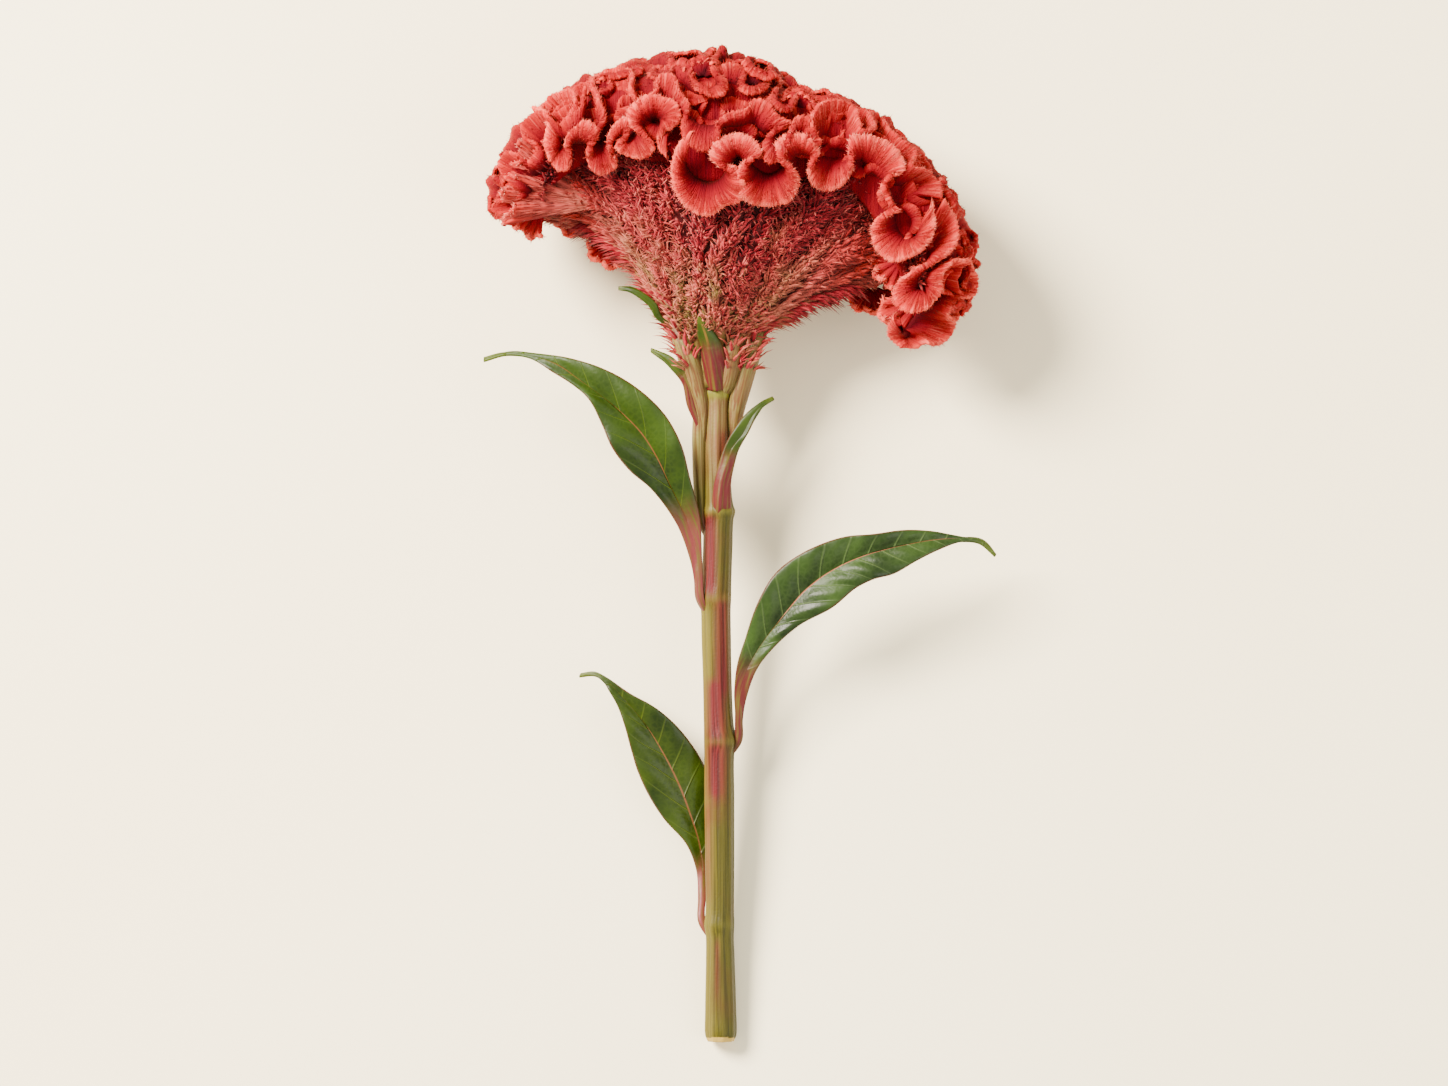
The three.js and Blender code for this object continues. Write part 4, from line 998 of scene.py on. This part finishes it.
def fan_body():
    turns, rows = 2 * np.pi * np.arange(224) / 224, np.linspace(0, 1, 56)
    turn, v = np.tile(turns, len(rows)), np.repeat(rows, len(turns))
    skin, _, _, out = fan_frame(turn, v)
    skin = skin + out * plume_rise(turn, v)[:, None]
    points, faces = lofted(skin.reshape(len(rows), len(turns), 3))
    _, side = plumes_at(turn, v)
    # Painted shade on the fan's skin: dark between the plumes and higher up under the crest
    shade = (1 - side**2) * (0.5 - 0.4 * smoothstep(v, 0.15, 0.4))
    return flank_piece("flank_fan", points, faces, v, wing_share(turn), shade, 0 * v)


def set_bracts(name, pattern, foot, reach, out, length, width, curl, climb, wing, shade, pale):
    """Copies of a bract on the flank, their feet sunk in a little."""
    points, faces = many_copies(*pattern, foot - reach * 0.6, reach, out, length, width, curl)
    climb, wing, shade, pale = (
        np.repeat(np.broadcast_to(value, len(foot)), len(pattern[0]))
        for value in (climb, wing, shade, pale)
    )
    tip = np.tile(pattern[0][:, 1], len(foot)) * pale
    return flank_piece(name, points, faces, climb, wing, shade, tip)


# The lowest lips' height along the photograph's x and how far bracts go up behind them, the front
# bract's middle, half width and top, and the depth in millimetres from which the back begins
LIP_EDGE = np.array([
    [500, 242], [530, 236], [544, 200], [556, 172], [600, 172], [630, 160], [668, 158], [684, 204],
    [708, 216], [735, 205], [755, 205], [775, 206], [800, 190], [837, 190], [852, 184], [876, 234],
    [893, 258], [925, 250],
])
LIP_COVER = 9
FRONT_BRACT_X, FRONT_BRACT_HALF_WIDTH, FRONT_BRACT_TOP = 711, 15, 330
BACK_FROM = 4


def below_lips(points):
    """Which points lie clear of the lips above and of the front bract below."""
    px = points[:, 0] / MM_PER_PIXEL + PHOTO_AXIS_X
    py = PHOTO_CUT_Y - points[:, 1] / MM_PER_PIXEL
    under = py > np.interp(px, *LIP_EDGE.T) - LIP_COVER
    beside = (np.abs(px - FRONT_BRACT_X) > FRONT_BRACT_HALF_WIDTH) | (py < FRONT_BRACT_TOP)
    return (under & beside) | (points[:, 2] < BACK_FROM)


def plume_bracts(name, pattern, count, turns, climb_range, lengths, lean, splay, width, curl, pale,
                 tone=0.0):
    """Bracts along the fan's plumes, which splay to both sides like a feather's barbs."""
    turn = np.radians(dice.uniform(*turns, count * 2))
    low, high = climb_range
    v = low + (high - low) * dice.uniform(0, 1, count * 2) ** 0.62
    index, side = plumes_at(turn, v)
    clear = below_lips(fan_skin(turn, v)) & (dice.uniform(0, 1, count * 2) > 0.15 + 0.9 * side**2)
    kept = np.flatnonzero(clear)[:count]
    turn, v, index, side, count = turn[kept], v[kept], index[kept], side[kept], len(kept)
    foot, up, round_way, out = fan_frame(turn, v)
    foot = foot + out * plume_rise(turn, v)[:, None]
    wing = wing_share(turn)
    loose = (1 - 0.8 * wing)[:, None]
    reach = up + out * dice.uniform(*lean, (count, 1)) * loose
    sway = (side * splay + dice.normal(0, 0.45, count))[:, None]
    reach = unit(reach + round_way * sway * loose)
    length = dice.uniform(*lengths, count) * (0.75 + 0.4 * v)
    open_share, pale, curl = draws(count, (0.4, 1), pale, curl)
    climb = v + 0.3 * (plume_draw[1][index] - 0.5) + tone
    # Painted shade: bracts at the plumes' sides, towards the gaps, are darker
    return set_bracts(name, pattern, foot, reach, out, length, width, curl, climb,
                      wing * (tone == 0), (1 - 0.9 * side**2) * open_share, pale)


def apron_bracts(name, count, front):
    """Bracts on the crest's underside, from the fan's top out to the first ruffles."""
    share = dice.uniform(0.02, 0.95, count)
    angle = np.radians(dice.uniform(104, 128, count))
    arch = Arch(share)
    above, below = (
        cross_point(arch, arch.high * 0.86 * np.cos(turn), front * 0.92 * np.sin(turn))
        for turn in (angle - 0.05, angle + 0.05)
    )
    foot, up = (above + below) / 2, unit(above - below)
    out = unit(np.cross(arch.along, up)) * front
    out = np.where(dot(out, foot - arch.centre) < 0, -out, out)
    reach = unit(up + out * dice.uniform(0.2, 0.8, (count, 1)) + dice.normal(0, 0.25, (count, 3)))
    kept = np.flatnonzero(below_lips(foot))
    foot, reach, out, share, count = foot[kept], reach[kept], out[kept], share[kept], len(kept)
    wing = smoothstep(np.abs(share - 0.46), 0.3, 0.5) * 0.5
    climb, shade, pale, length, curl = draws(
        count, (0.8, 1), (0.2, 0.9), (0, 0.5), (3.5, 6), (0, 0.3))
    return set_bracts(name, BRACT_PATTERN, foot, reach, out, length, 1.1, curl,
                      climb, wing, shade, pale)


def end_fan(px, py, depth, radius, begin, end, fall, count):
    """The crest's left end, one broad fan whose long fibres run out from the flank to the rim."""
    fan = tuft(px, py, depth, radius, begin, end, fall)
    rings, rise, _ = fan.solid()
    points, faces = lofted(rings)
    climb = 0.35 + 0.6 * rise.ravel()
    flank_piece("end_fan_sheet", points, faces, climb, 0 * climb + 1, 0 * climb + 1, 0 * climb)
    k = dice.integers(0, len(fan.rim), count)
    level = dice.integers(0, len(fan.levels) - 2, count)
    out = fan.normal[k, level] * np.sign(fan.normal[k, level, 2])[:, None]
    reach = unit(fan.sheet[k, level + 2] - fan.sheet[k, level]) + out * 0.12
    reach = unit(reach + dice.normal(0, 0.05, (count, 3)))
    foot = fan.sheet[k, level] + out * 0.8
    left = np.linalg.norm(fan.sheet[k, -1] - foot, axis=1)
    length = np.minimum(dice.uniform(5, 9, count), left + 0.8)
    climb, pale = 0.5 + 0.5 * fan.levels[level], dice.uniform(0, 0.5, count)
    set_bracts("end_fan_fibres", HAIR_PATTERN, foot, reach, out, length, 0.4, 0, climb, 1, 1, pale)
    join_hairs("end_fan_fringe", [fan.fringe(0.2, (0.6, 1.5), 0.7)], 0.3)


def floret_tufts(tufts, turns, climb_range):
    """Florets in small open tufts, each with a tone of its own."""
    each = 11
    turn = np.radians(dice.uniform(*turns, tufts * 2))
    v = dice.uniform(*climb_range, tufts * 2)
    kept = np.flatnonzero(below_lips(fan_skin(turn, v)))[:tufts]
    tone = dice.uniform(-0.25, 0.3, len(kept))
    turn, v, tone = (np.repeat(value, each) for value in (turn[kept], v[kept], tone))
    count = len(turn)
    foot, up, round_way, out = fan_frame(turn, v)
    foot = foot + out * (plume_rise(turn, v) - 0.4)[:, None]
    circle = dice.uniform(0, 2 * np.pi, (count, 1))
    open_by = dice.uniform(0.3, 1.2, (count, 1))
    spread = (up * np.cos(circle) + round_way * np.sin(circle)) * open_by
    reach = unit(out * dice.uniform(0.6, 1.1, (count, 1)) + up * 0.5 + spread)
    shade, pale, length, curl = draws(count, (0.6, 1), (0.3, 1), (2.6, 4.8), (-0.5, 0.9))
    return set_bracts("flank_tufts", BRACT_PATTERN, foot + spread * 0.5, reach, up, length, 1.05,
                      curl, v + tone, wing_share(turn), shade, pale)


fan_body()
# Middle in photograph x and y, depth, radius, arc, fall of the rim and number of fibres
end_fan(606, 206, 9, 29.2, 138, 192, 9, 1500)
floret_tufts(230, (42, 138), (0.22, 0.97))
# Pattern, count, range of turns and of climb, lengths, lean, splay, width, curl, pale tips, tone
for part, numbers in {
    "bracts": (BRACT_PATTERN, 5300, (0, 360), (0.12, 0.98), (3, 6), (0.2, 1.0), 0.7, 1.25,
               (-0.1, 0.4), (0, 0.7)),
    "florets": (BRACT_PATTERN, 2000, (0, 360), (0.18, 0.97), (2.6, 4.6), (0.5, 1.4), 1.1, 0.85,
                (-0.5, 0.8), (0.2, 1)),
    "frizz": (BRACT_PATTERN, 1300, (35, 145), (0.16, 0.95), (2.4, 5), (0.8, 1.9), 1.8, 0.7,
              (-1.3, 1.3), (0.3, 1)),
    "fibres_1": (HAIR_PATTERN, 1700, (-62, 62), (0.15, 0.9), (8, 13), (0.14, 0.3), 0.12, 0.55,
                 (0, 0.06), (0, 0.8)),
    "fibres_2": (HAIR_PATTERN, 1700, (118, 242), (0.15, 0.9), (8, 13), (0.14, 0.3), 0.12, 0.55,
                 (0, 0.06), (0, 0.8)),
    "spikes_1": (BRACT_PATTERN, 230, (-16, 16), (0.04, 0.75), (5, 7.5), (0.8, 1.6), 0.3, 1.9,
                 (0.2, 0.8), (0, 0.2), 0.3),
    "spikes_2": (BRACT_PATTERN, 230, (164, 196), (0.04, 0.75), (5, 7.5), (0.8, 1.6), 0.3, 1.9,
                 (0.2, 0.8), (0, 0.2), 0.3),
    "neck_bracts": (BRACT_PATTERN, 420, (10, 170), (0.02, 0.3), (4, 7), (0.3, 0.9), 0.6, 1.3,
                    (-0.1, 0.6), (0.3, 1), 0.22),
    "filaments": (HAIR_PATTERN, 1500, (50, 130), (0.08, 0.5), (3, 5.5), (0.8, 1.8), 1.6, 0.34,
                  (-1.2, 1.2), (0.8, 1)),
}.items():
    plume_bracts("flank_" + part, *numbers)
apron_bracts("flank_apron_front", 1100, 1)
apron_bracts("flank_apron_back", 800, -1)

# Fleshy ridges of the neck, which carry the plumes: photograph x and y, radius and depth

NECK_RIDGES = [
    [[702, 446, 1.2, 1.6], [701, 410, 2.3, 2.4], [696, 384, 3.1, 2.8], [688, 356, 3.5, 3.6],
     [680, 334, 2.8, 3.6], [674, 312, 1.2, 1.5]],
    [[716, 400, 1.8, 0.4], [712, 384, 2.8, 1.8], [709, 355, 3.3, 3.2], [706, 332, 2.8, 3.8],
     [703, 308, 1.2, 2]],
    [[720, 400, 1.8, 0.4], [726, 386, 2.9, 1.8], [731, 357, 3.4, 3.4], [736, 332, 2.8, 3.6],
     [742, 308, 1.2, 2]],
    [[731, 456, 1.2, -1.0], [735, 414, 2.6, -0.4], [741, 386, 3.2, 0.2], [749, 356, 3.4, 0.8],
     [757, 336, 2.8, 0.6], [768, 316, 1.2, -1]],
    [[710, 404, 2.0, -1.5], [700, 372, 3.2, -4], [692, 338, 3.0, -6], [685, 308, 1.2, -6.5]],
    [[724, 404, 2.0, -1.5], [732, 372, 3.2, -4], [742, 338, 3.0, -6], [752, 308, 1.2, -6.5]],
]


def neck_florets(count):
    """Bracts on the upper half of the four front ridges, pointing up and out."""
    sets = []
    for stations in np.array([ridge[-4:] for ridge in NECK_RIDGES[:4]], float):
        px, py, radius, z = spline(stations, dice.uniform(0.15, 0.95, count)).T
        up = unit(from_photo(*stations[-1, :2]) - from_photo(*stations[0, :2]))
        turn = np.radians(dice.uniform(-10, 190, count))
        out = np.stack([np.cos(turn), 0 * turn, np.sin(turn)], axis=1)
        reach = unit(up + out * dice.uniform(0.3, 1, (count, 1)) + dice.normal(0, 0.15, (count, 3)))
        sets.append((from_photo(px, py, z) + out * radius[:, None] * 0.95, reach, out))
    foot, reach, out = (np.concatenate(parts) for parts in zip(*sets))
    kept = below_lips(foot)
    climb, shade, pale, length, curl = draws(
        kept.sum(), (0.25, 0.75), (0.7, 1), (0.2, 0.9), (3.5, 6.5), (0, 0.6))
    return set_bracts("neck_florets", BRACT_PATTERN, foot[kept], reach[kept], out[kept], length,
                      1.3, curl, climb, 0, shade, pale)


neck_florets(75)

# Leaves: stations with one margin, the midrib and the other margin as photograph x and y, then
# the heights of the midrib and of both margins against it

LEAVES = {
    "leaf_upper_left": [
        [713, 616, 709, 616, 705, 615, 0.5, 0, 0], [705, 600, 701, 600, 696, 599, 3.4, 0.4, -0.8],
        [703, 577, 699, 578, 694, 579, 3.8, 0.4, -0.6],
        [702, 552, 697, 556, 690, 560, 3.6, 0.4, 0.4], [700, 517, 687, 521, 677, 525, 3.6, 1.2, 1],
        [690, 477, 669, 483, 652, 490, 5, 2.2, 2], [682, 446, 657, 457, 630, 471, 6.4, 3.2, 1.6],
        [668, 419, 642, 434, 613, 449, 7.6, 2.4, 3], [650, 399, 624, 415, 602, 424, 8.2, 3.2, 1.6],
        [626, 381, 603, 398, 590, 401, 8.4, 2, 2], [600, 368, 583, 383, 575, 387, 8, 1.6, 1],
        [566, 358, 559, 366, 553, 373, 7, 0.8, 0.4], [534, 354, 533, 357, 532, 360, 5.2, 0, 0],
        [508, 352, 508, 354, 507, 356, 3.4, 0, 0], [484, 358, 484, 360, 484, 362, 1.6, 0, 0],
    ],
    "leaf_right": [
        [722, 760, 726, 759, 730, 758, 0, 0, 0], [733, 743, 737, 742, 742, 741, 0.8, 0, 0],
        [735, 716, 739, 717, 743, 718, 2, 0, 0], [734, 692, 740, 694, 747, 696, 3, 0.6, 0.4],
        [737, 664, 748, 667, 757, 669, 4, 1.6, 0.8], [745, 638, 761, 644, 773, 648, 5, 2.4, 1.2],
        [757, 603, 781, 618, 799, 625, 6.4, 3.2, 2], [775, 573, 805, 590, 832, 607, 8, 2.4, 3],
        [805, 551, 830, 571, 855, 588, 9, 3.4, 2], [842, 537, 857, 558, 873, 579, 9.6, 2.2, 2.6],
        [872, 534, 881, 550, 892, 574, 9.6, 2.4, 1.4], [902, 530, 908, 544, 917, 560, 9, 1.6, 1.2],
        [930, 531, 933, 540, 940, 549, 7.6, 0.8, 0.6], [957, 536, 958, 539, 961, 542, 5.6, 0, 0],
        [982, 540, 981, 542, 979, 544, 3.6, 0, 0], [996, 554, 995, 556, 994, 557, 2, 0, 0],
    ],
    "leaf_lower_left": [
        [718, 940, 713, 940, 708, 939, -0.5, 0, 0], [706, 923, 702, 923, 698, 922, -1, 0, 0],
        [706, 897, 702, 898, 698, 899, -3, 0, 0], [709, 869, 702, 870, 696, 871, -5.2, -0.6, 0.6],
        [713, 838, 698, 842, 686, 845, -5.6, -1.8, 1.4],
        [713, 808, 689, 813, 664, 820, -5, -2.4, 2],
        [711, 786, 681, 791, 648, 795, -4.4, -2.8, 1.6],
        [705, 768, 671, 769, 637, 770, -3.6, -2, 2.6],
        [692, 745, 659, 746, 631, 750, -2.6, 0.8, 1.6],
        [674, 723, 647, 727, 624, 724, -1.4, 1.8, 2.2],
        [655, 707, 633, 709, 617, 705, -0.4, 1.8, 1.2], [630, 693, 620, 694, 609, 691, 0.2, 1, 0.6],
        [609, 679, 607, 681, 604, 683, 0, 0, 0], [596, 672, 595, 674, 594, 676, -0.8, 0, 0],
        [581, 674, 580, 675, 579, 677, -2, 0, 0],
    ],
    "small_leaf_right": [
        [710, 520, 718, 521, 729, 520, 2.4, -1, -1],
        [711, 507, 719, 508, 731, 507, 4.5, -1.2, -1.6],
        [714, 484, 721, 484, 731, 484, 4.9, -0.8, -1.2],
        [719, 463, 727, 463, 735, 463, 4.9, 0, -0.6], [725, 446, 732, 448, 739, 450, 4.8, 0.4, 0.2],
        [733, 431, 742, 436, 749, 432, 5, 0.8, 0.6], [746, 414, 752, 418, 756, 417, 5.2, 0.4, 0.4],
        [760, 403, 762, 406, 764, 407, 4.8, 0, 0], [772, 397, 773, 398, 774, 400, 4, 0, 0],
    ],
    "small_leaf_left": [
        [704, 438, 701, 439, 698, 440, 1.6, 0, 0], [701, 427, 699, 428, 697, 429, 2.8, 0, 0],
        [695, 404, 691, 405, 687, 406, 3.8, 0, 0], [691, 384, 687, 385, 683, 386, 4.2, 0, 0],
        [688, 373, 683, 376, 679, 379, 4.6, 0.5, 0.2],
        [680, 364, 675, 369, 671, 370, 4.8, 0.6, 0.2],
        [670, 356, 666, 360, 663, 361, 4.6, 0.2, 0.2], [651, 349, 651, 350, 651, 352, 3.6, 0, 0],
    ],
    "front_bract": [
        [706, 390, 716, 391, 726, 390, 4.6, -1.4, -1.8],
        [704, 372, 714, 374, 727, 372, 6.4, -1.6, -2],
        [700, 350, 710, 352, 725, 353, 8.8, -1.6, -1.8],
        [697, 334, 706, 336, 718, 338, 10.6, -1, -1], [698, 318, 699, 318, 701, 319, 12.2, 0, 0],
    ],
    "tiny_leaf_left": [
        [676, 326, 673, 328, 670, 330, 3.5, 0, 0], [662, 317, 659, 318, 656, 319, 5.4, 0, 0],
        [657, 305, 653, 307, 649, 307, 7, 0.3, 0.3], [647, 296, 644, 299, 641, 300, 7.8, 0.3, 0.3],
        [632, 289, 631, 291, 630, 293, 7.6, 0, 0], [619, 288, 619, 290, 619, 291, 6.6, 0, 0],
    ],
}
# Kind of blade, record slot, station where the petiole ends and how much the blade puffs
LEAF_LOOKS = {
    "leaf_upper_left": ("dark", "leaf_dark", 4, 0.6), "leaf_right": ("pale", "leaf_dark", 4, 0.9),
    "leaf_lower_left": ("low", "leaf_dark", 3, 0.5), "front_bract": ("young", "bract", 2.2, 0),
    "small_leaf_right": ("young", "leaf_young", 3.4, 0),
    "small_leaf_left": ("young", "leaf_young", 4, 0),
    "tiny_leaf_left": ("young", "leaf_young", 0, 0),
}
BLADE_BULGE, SMALL_LEAF_STATIONS = 0.09, 12
LEAF_THICKNESS, RIB_THICKNESS, STALK_THICKNESS = 0.8, 1.5, 2.2


def leaf(name):
    """A thin blade lofted along its midrib, puffed up between the side veins."""
    stations = LEAVES[name]
    kind, slot, stalk_end, puffing = LEAF_LOOKS[name]
    spacing, forward = BLADES[kind][0]
    large = len(stations) > SMALL_LEAF_STATIONS
    rows, columns = (150, 33) if large else (60, 17)
    share = np.linspace(0, 1, rows)
    ax, ay, mx, my, bx, by, middle, left, right = np.array(stations).T
    one, rib, other = (spline(from_photo(px, py, z), share) for px, py, z in (
        (ax, ay, middle + left), (mx, my, middle), (bx, by, middle + right)))
    q = np.linspace(-1, 1, columns)
    aside = np.abs(q)[None]
    edge = np.where(q[None, :, None] < 0, one[:, None], other[:, None]) - rib[:, None]
    wide = np.linalg.norm(edge, axis=-1)
    sheet = rib[:, None] + edge * aside[..., None]
    sheet[..., 2] += BLADE_BULGE * 4 * (aside * (1 - aside)) * wide
    station = share * (len(stations) - 1)
    blade = smoothstep(station, stalk_end - 0.6, stalk_end + 0.8)[:, None]
    distance = aside * wide
    far = travelled(rib)[:, None]
    beat = (far - forward * distance) / spacing + np.where(q > 0, 0.5, 0)[None]
    taper = np.clip(1.15 - aside, 0, 1) * blade * large
    puff = puffing * np.sin(np.pi * beat) ** 2 * np.minimum(taper, 0.5)
    puff = puff * smoothstep(distance, 0.3, 2.5)
    wave = 0.35 * np.sin(far / 5.2 + 2 * np.sign(q)[None]) * aside**3 * blade
    sheet[..., 2] += puff + wave
    thick = np.where(station < stalk_end, STALK_THICKNESS, RIB_THICKNESS)[:, None] - LEAF_THICKNESS
    thick = thick * np.exp(-((distance / 0.9) ** 2)) * np.minimum((1 - share)[:, None] * 4, 1)
    thick = (LEAF_THICKNESS + thick) * np.sqrt(np.clip(1 - aside**14, 0.06, 1))
    normal = face_normal(sheet)
    if normal[..., 2].mean() < 0:
        normal = -normal
    upper, lower = (sheet + normal * thick[..., None] * side for side in (0.42, -0.58))
    margin = smoothstep(distance, wide - 0.4, wide - 0.1) * blade * smoothstep(wide, 1, 3)
    ribbed = blade * smoothstep(wide.max(axis=1, keepdims=True), 1, 4)
    values = {"veined": taper, "ribbed": ribbed, "margin": margin, "stalk": 1 - blade,
              "tip": smoothstep(share, 0.86, 1)[:, None]}
    lines = np.stack(np.broadcast_arrays(far, np.sign(q)[None] * distance), axis=-1)
    values = {key: np.broadcast_to(value, wide.shape) for key, value in values.items()}
    both = {key: np.concatenate([value, value[:, ::-1]], axis=1) for key, value in values.items()}
    lines = np.concatenate([lines, lines[:, ::-1]], axis=1).reshape(-1, 2)
    points, faces = lofted(np.concatenate([upper, lower[:, ::-1]], axis=1))
    return new_piece(name + "_blade", points, faces, BLADE_MATERIALS[kind], name, both, lines)


for leaf_name in LEAVES:
    leaf(leaf_name)

# Stem: photograph height, axis and radius, with a swelling at each node

STEM_PROFILE = [
    [1041, 720.5, 3.9], [1035, 720.5, CUT_END_RADIUS], [1010, 720.3, CUT_END_RADIUS],
    [960, 720, 4.3], [935, 719.5, 4.2], [924, 719, 4.5], [912, 719.5, 4.25],
    [860, 719.5, 4.35], [800, 719, 4.5],
    [754, 719, 4.5], [741, 720, 4.9], [726, 718.5, 4.5], [680, 717, 4.3], [640, 716, 4.4],
    [610, 715.5, 4.45], [598, 715, 4.75], [584, 716, 4.5], [545, 717.5, 4.4], [520, 718, 4.5],
    [511, 718.5, 4.9], [504, 718, 4.4], [470, 716.5, 4], [430, 716, 3.9], [402, 716, 3.9],
    [393, 716, 4.4], [389, 716, 4.2], [384, 716, 3.4], [366, 716, 2],
]
# Height of each node and how pale it is
STEM_JOINTS = [(924, 0.15), (741, 0.2), (598, 0.22), (511, 0.3), (395, 1.1)]
JOINT_REACH, NECK_TOP, NECK_BOTTOM, CUT_EDGE_Y = 4, 430, 515, 1038
RIB_RISE = 0.03
# Where the rind is flushed pink: height from and to, middle, reach to each side and strength
FLUSHES = [
    (430, 500, 723, 5, 0.8), (513, 596, 709, 7, 1.3), (596, 700, 722, 7, 1.1),
    (680, 800, 716, 9, 1.4), (800, 900, 708, 5, 0.6), (940, 995, 717, 3, 0.8),
]
STALKS = {
    "side_stalk_right": [
        [726, 460, 1.0, -1], [731, 434, 1.7, -1], [735, 415, 1.9, 0], [737, 395, 1.9, 1],
        [742, 375, 1.8, 1.5], [745, 352, 1.9, 2],
    ],
    "side_stalk_left": [
        [708, 540, 0.8, 0.4], [702, 520, 1.5, 1], [700, 490, 1.9, 1.2], [699, 455, 2.0, 1.5],
        [699, 430, 2.0, 1.9], [700, 410, 1.8, 2.2], [701, 392, 0.8, 2],
    ],
}


def round_rod(name, node_name, stations, count, sides, ribs, joints=()):
    """A ribbed rod through stations of photograph x and y, radius and depth in mm."""
    px, py, radius, z = spline(np.array(stations, float), np.linspace(0, 1, count)).T
    centres, radii = from_photo(px, py, z), radius[:, None]
    turns = 2 * np.pi * np.arange(sides) / sides
    ridge = np.cos(ribs * turns)
    girth = radii * (1 + RIB_RISE * ridge[None])
    across, deep = girth * np.cos(turns), girth * np.sin(turns)
    rings = centres[:, None] + np.stack([across, 0 * girth, deep], axis=-1)
    height = PHOTO_CUT_Y - rings[..., 1] / MM_PER_PIXEL
    near = np.zeros_like(height)
    for joint, strength in joints:
        near = np.maximum(near, strength * np.exp(-(((height - joint) / JOINT_REACH) ** 2)))
    pixel_x = PHOTO_AXIS_X + rings[..., 0] / MM_PER_PIXEL
    flush = np.zeros_like(height)
    for top, bottom, middle, reach, strength in FLUSHES:
        patch = strength * np.exp(-(((pixel_x - middle) / reach) ** 2))
        patch *= smoothstep(height, top - 8, top + 8)
        patch *= 1 - smoothstep(height, bottom - 12, bottom + 12)
        flush = np.maximum(flush, patch)
    points, faces = lofted(rings)
    cut_height = laid_down(from_photo(PHOTO_AXIS_X, CUT_EDGE_Y))[0][1]
    values = {"flush": flush, "joint": near, "across": across, "deep": deep,
              "along": np.broadcast_to(travelled(centres)[:, None], height.shape),
              "neck": 1 - smoothstep(height, NECK_TOP, NECK_BOTTOM),
              "rib": np.broadcast_to(smoothstep(ridge, 0.2, 1), height.shape),
              "cut": 0.8 * (laid_down(points)[:, 1] < cut_height)}
    return new_piece(name + "_rod", points, faces, RIND, node_name, values)


stem_stations = [[px, py, radius, 0] for py, px, radius in STEM_PROFILE]
round_rod("stem", "stem", stem_stations, 170, 64, 9, STEM_JOINTS)
for number, stations in enumerate(NECK_RIDGES):
    round_rod(f"neck_ridge_{number + 1}", "flower_flank", stations, 60, 24, 5)
for stalk, stations in STALKS.items():
    round_rod(stalk, stalk, stations, 50, 24, 4)

# Floor, light and camera

CAMERA_DISTANCE, SENSOR_WIDTH = 1500, 36
FLOOR_WIDTH = 6
AIR_COLOUR, AIR_STRENGTH = "#fbf7f0", 1.25
# Place, width and power of each soft light, and its colour
LIGHTS = {
    "window_light": ((-1.1, 0.7, 1.35), 0.8, 190, "#fff4e6"),
    "fill_light": ((1.1, -0.5, 1.3), 1.2, 16, "#fff9f2"),
}
LIT_POINT = (0, 0.05, 0.02)


def studio():
    bpy.ops.mesh.primitive_plane_add(size=FLOOR_WIDTH)
    sheet = bpy.context.object
    sheet.name = "paper_floor"
    sheet.data.materials.append(studio_floor())
    world = bpy.data.worlds.new("studio_air")
    bpy.context.scene.world = world
    world.use_nodes = True
    air = world.node_tree.nodes["Background"]
    air.inputs["Color"].default_value = linear(AIR_COLOUR)
    air.inputs["Strength"].default_value = AIR_STRENGTH
    for name, (place, size, power, colour) in LIGHTS.items():
        light = bpy.data.lights.new(name, "AREA")
        light.shape, light.size, light.energy = "DISK", size, power
        light.color = linear(colour)[:3]
        lamp = placed(name, light)
        lamp.location = place
        way = Vector(LIT_POINT) - Vector(place)
        lamp.rotation_euler = way.to_track_quat("-Z", "Y").to_euler()


def camera():
    """Looks square at the plant, as far off as frames the photograph."""
    view = bpy.data.cameras.new("photo_view")
    view.sensor_width, view.clip_end = SENSOR_WIDTH, 10
    view.lens = SENSOR_WIDTH * CAMERA_DISTANCE / (PHOTO_SIZE[0] * MM_PER_PIXEL)
    seen_from = placed("photo_view", view)
    middle = laid_down(from_photo(PHOTO_SIZE[0] / 2, PHOTO_SIZE[1] / 2, CAMERA_DISTANCE))[0]
    seen_from.matrix_world = Matrix.Translation(middle) @ Matrix.Rotation(REST_TILT, 4, "X")
    bpy.context.scene.camera = seen_from


studio()
camera()
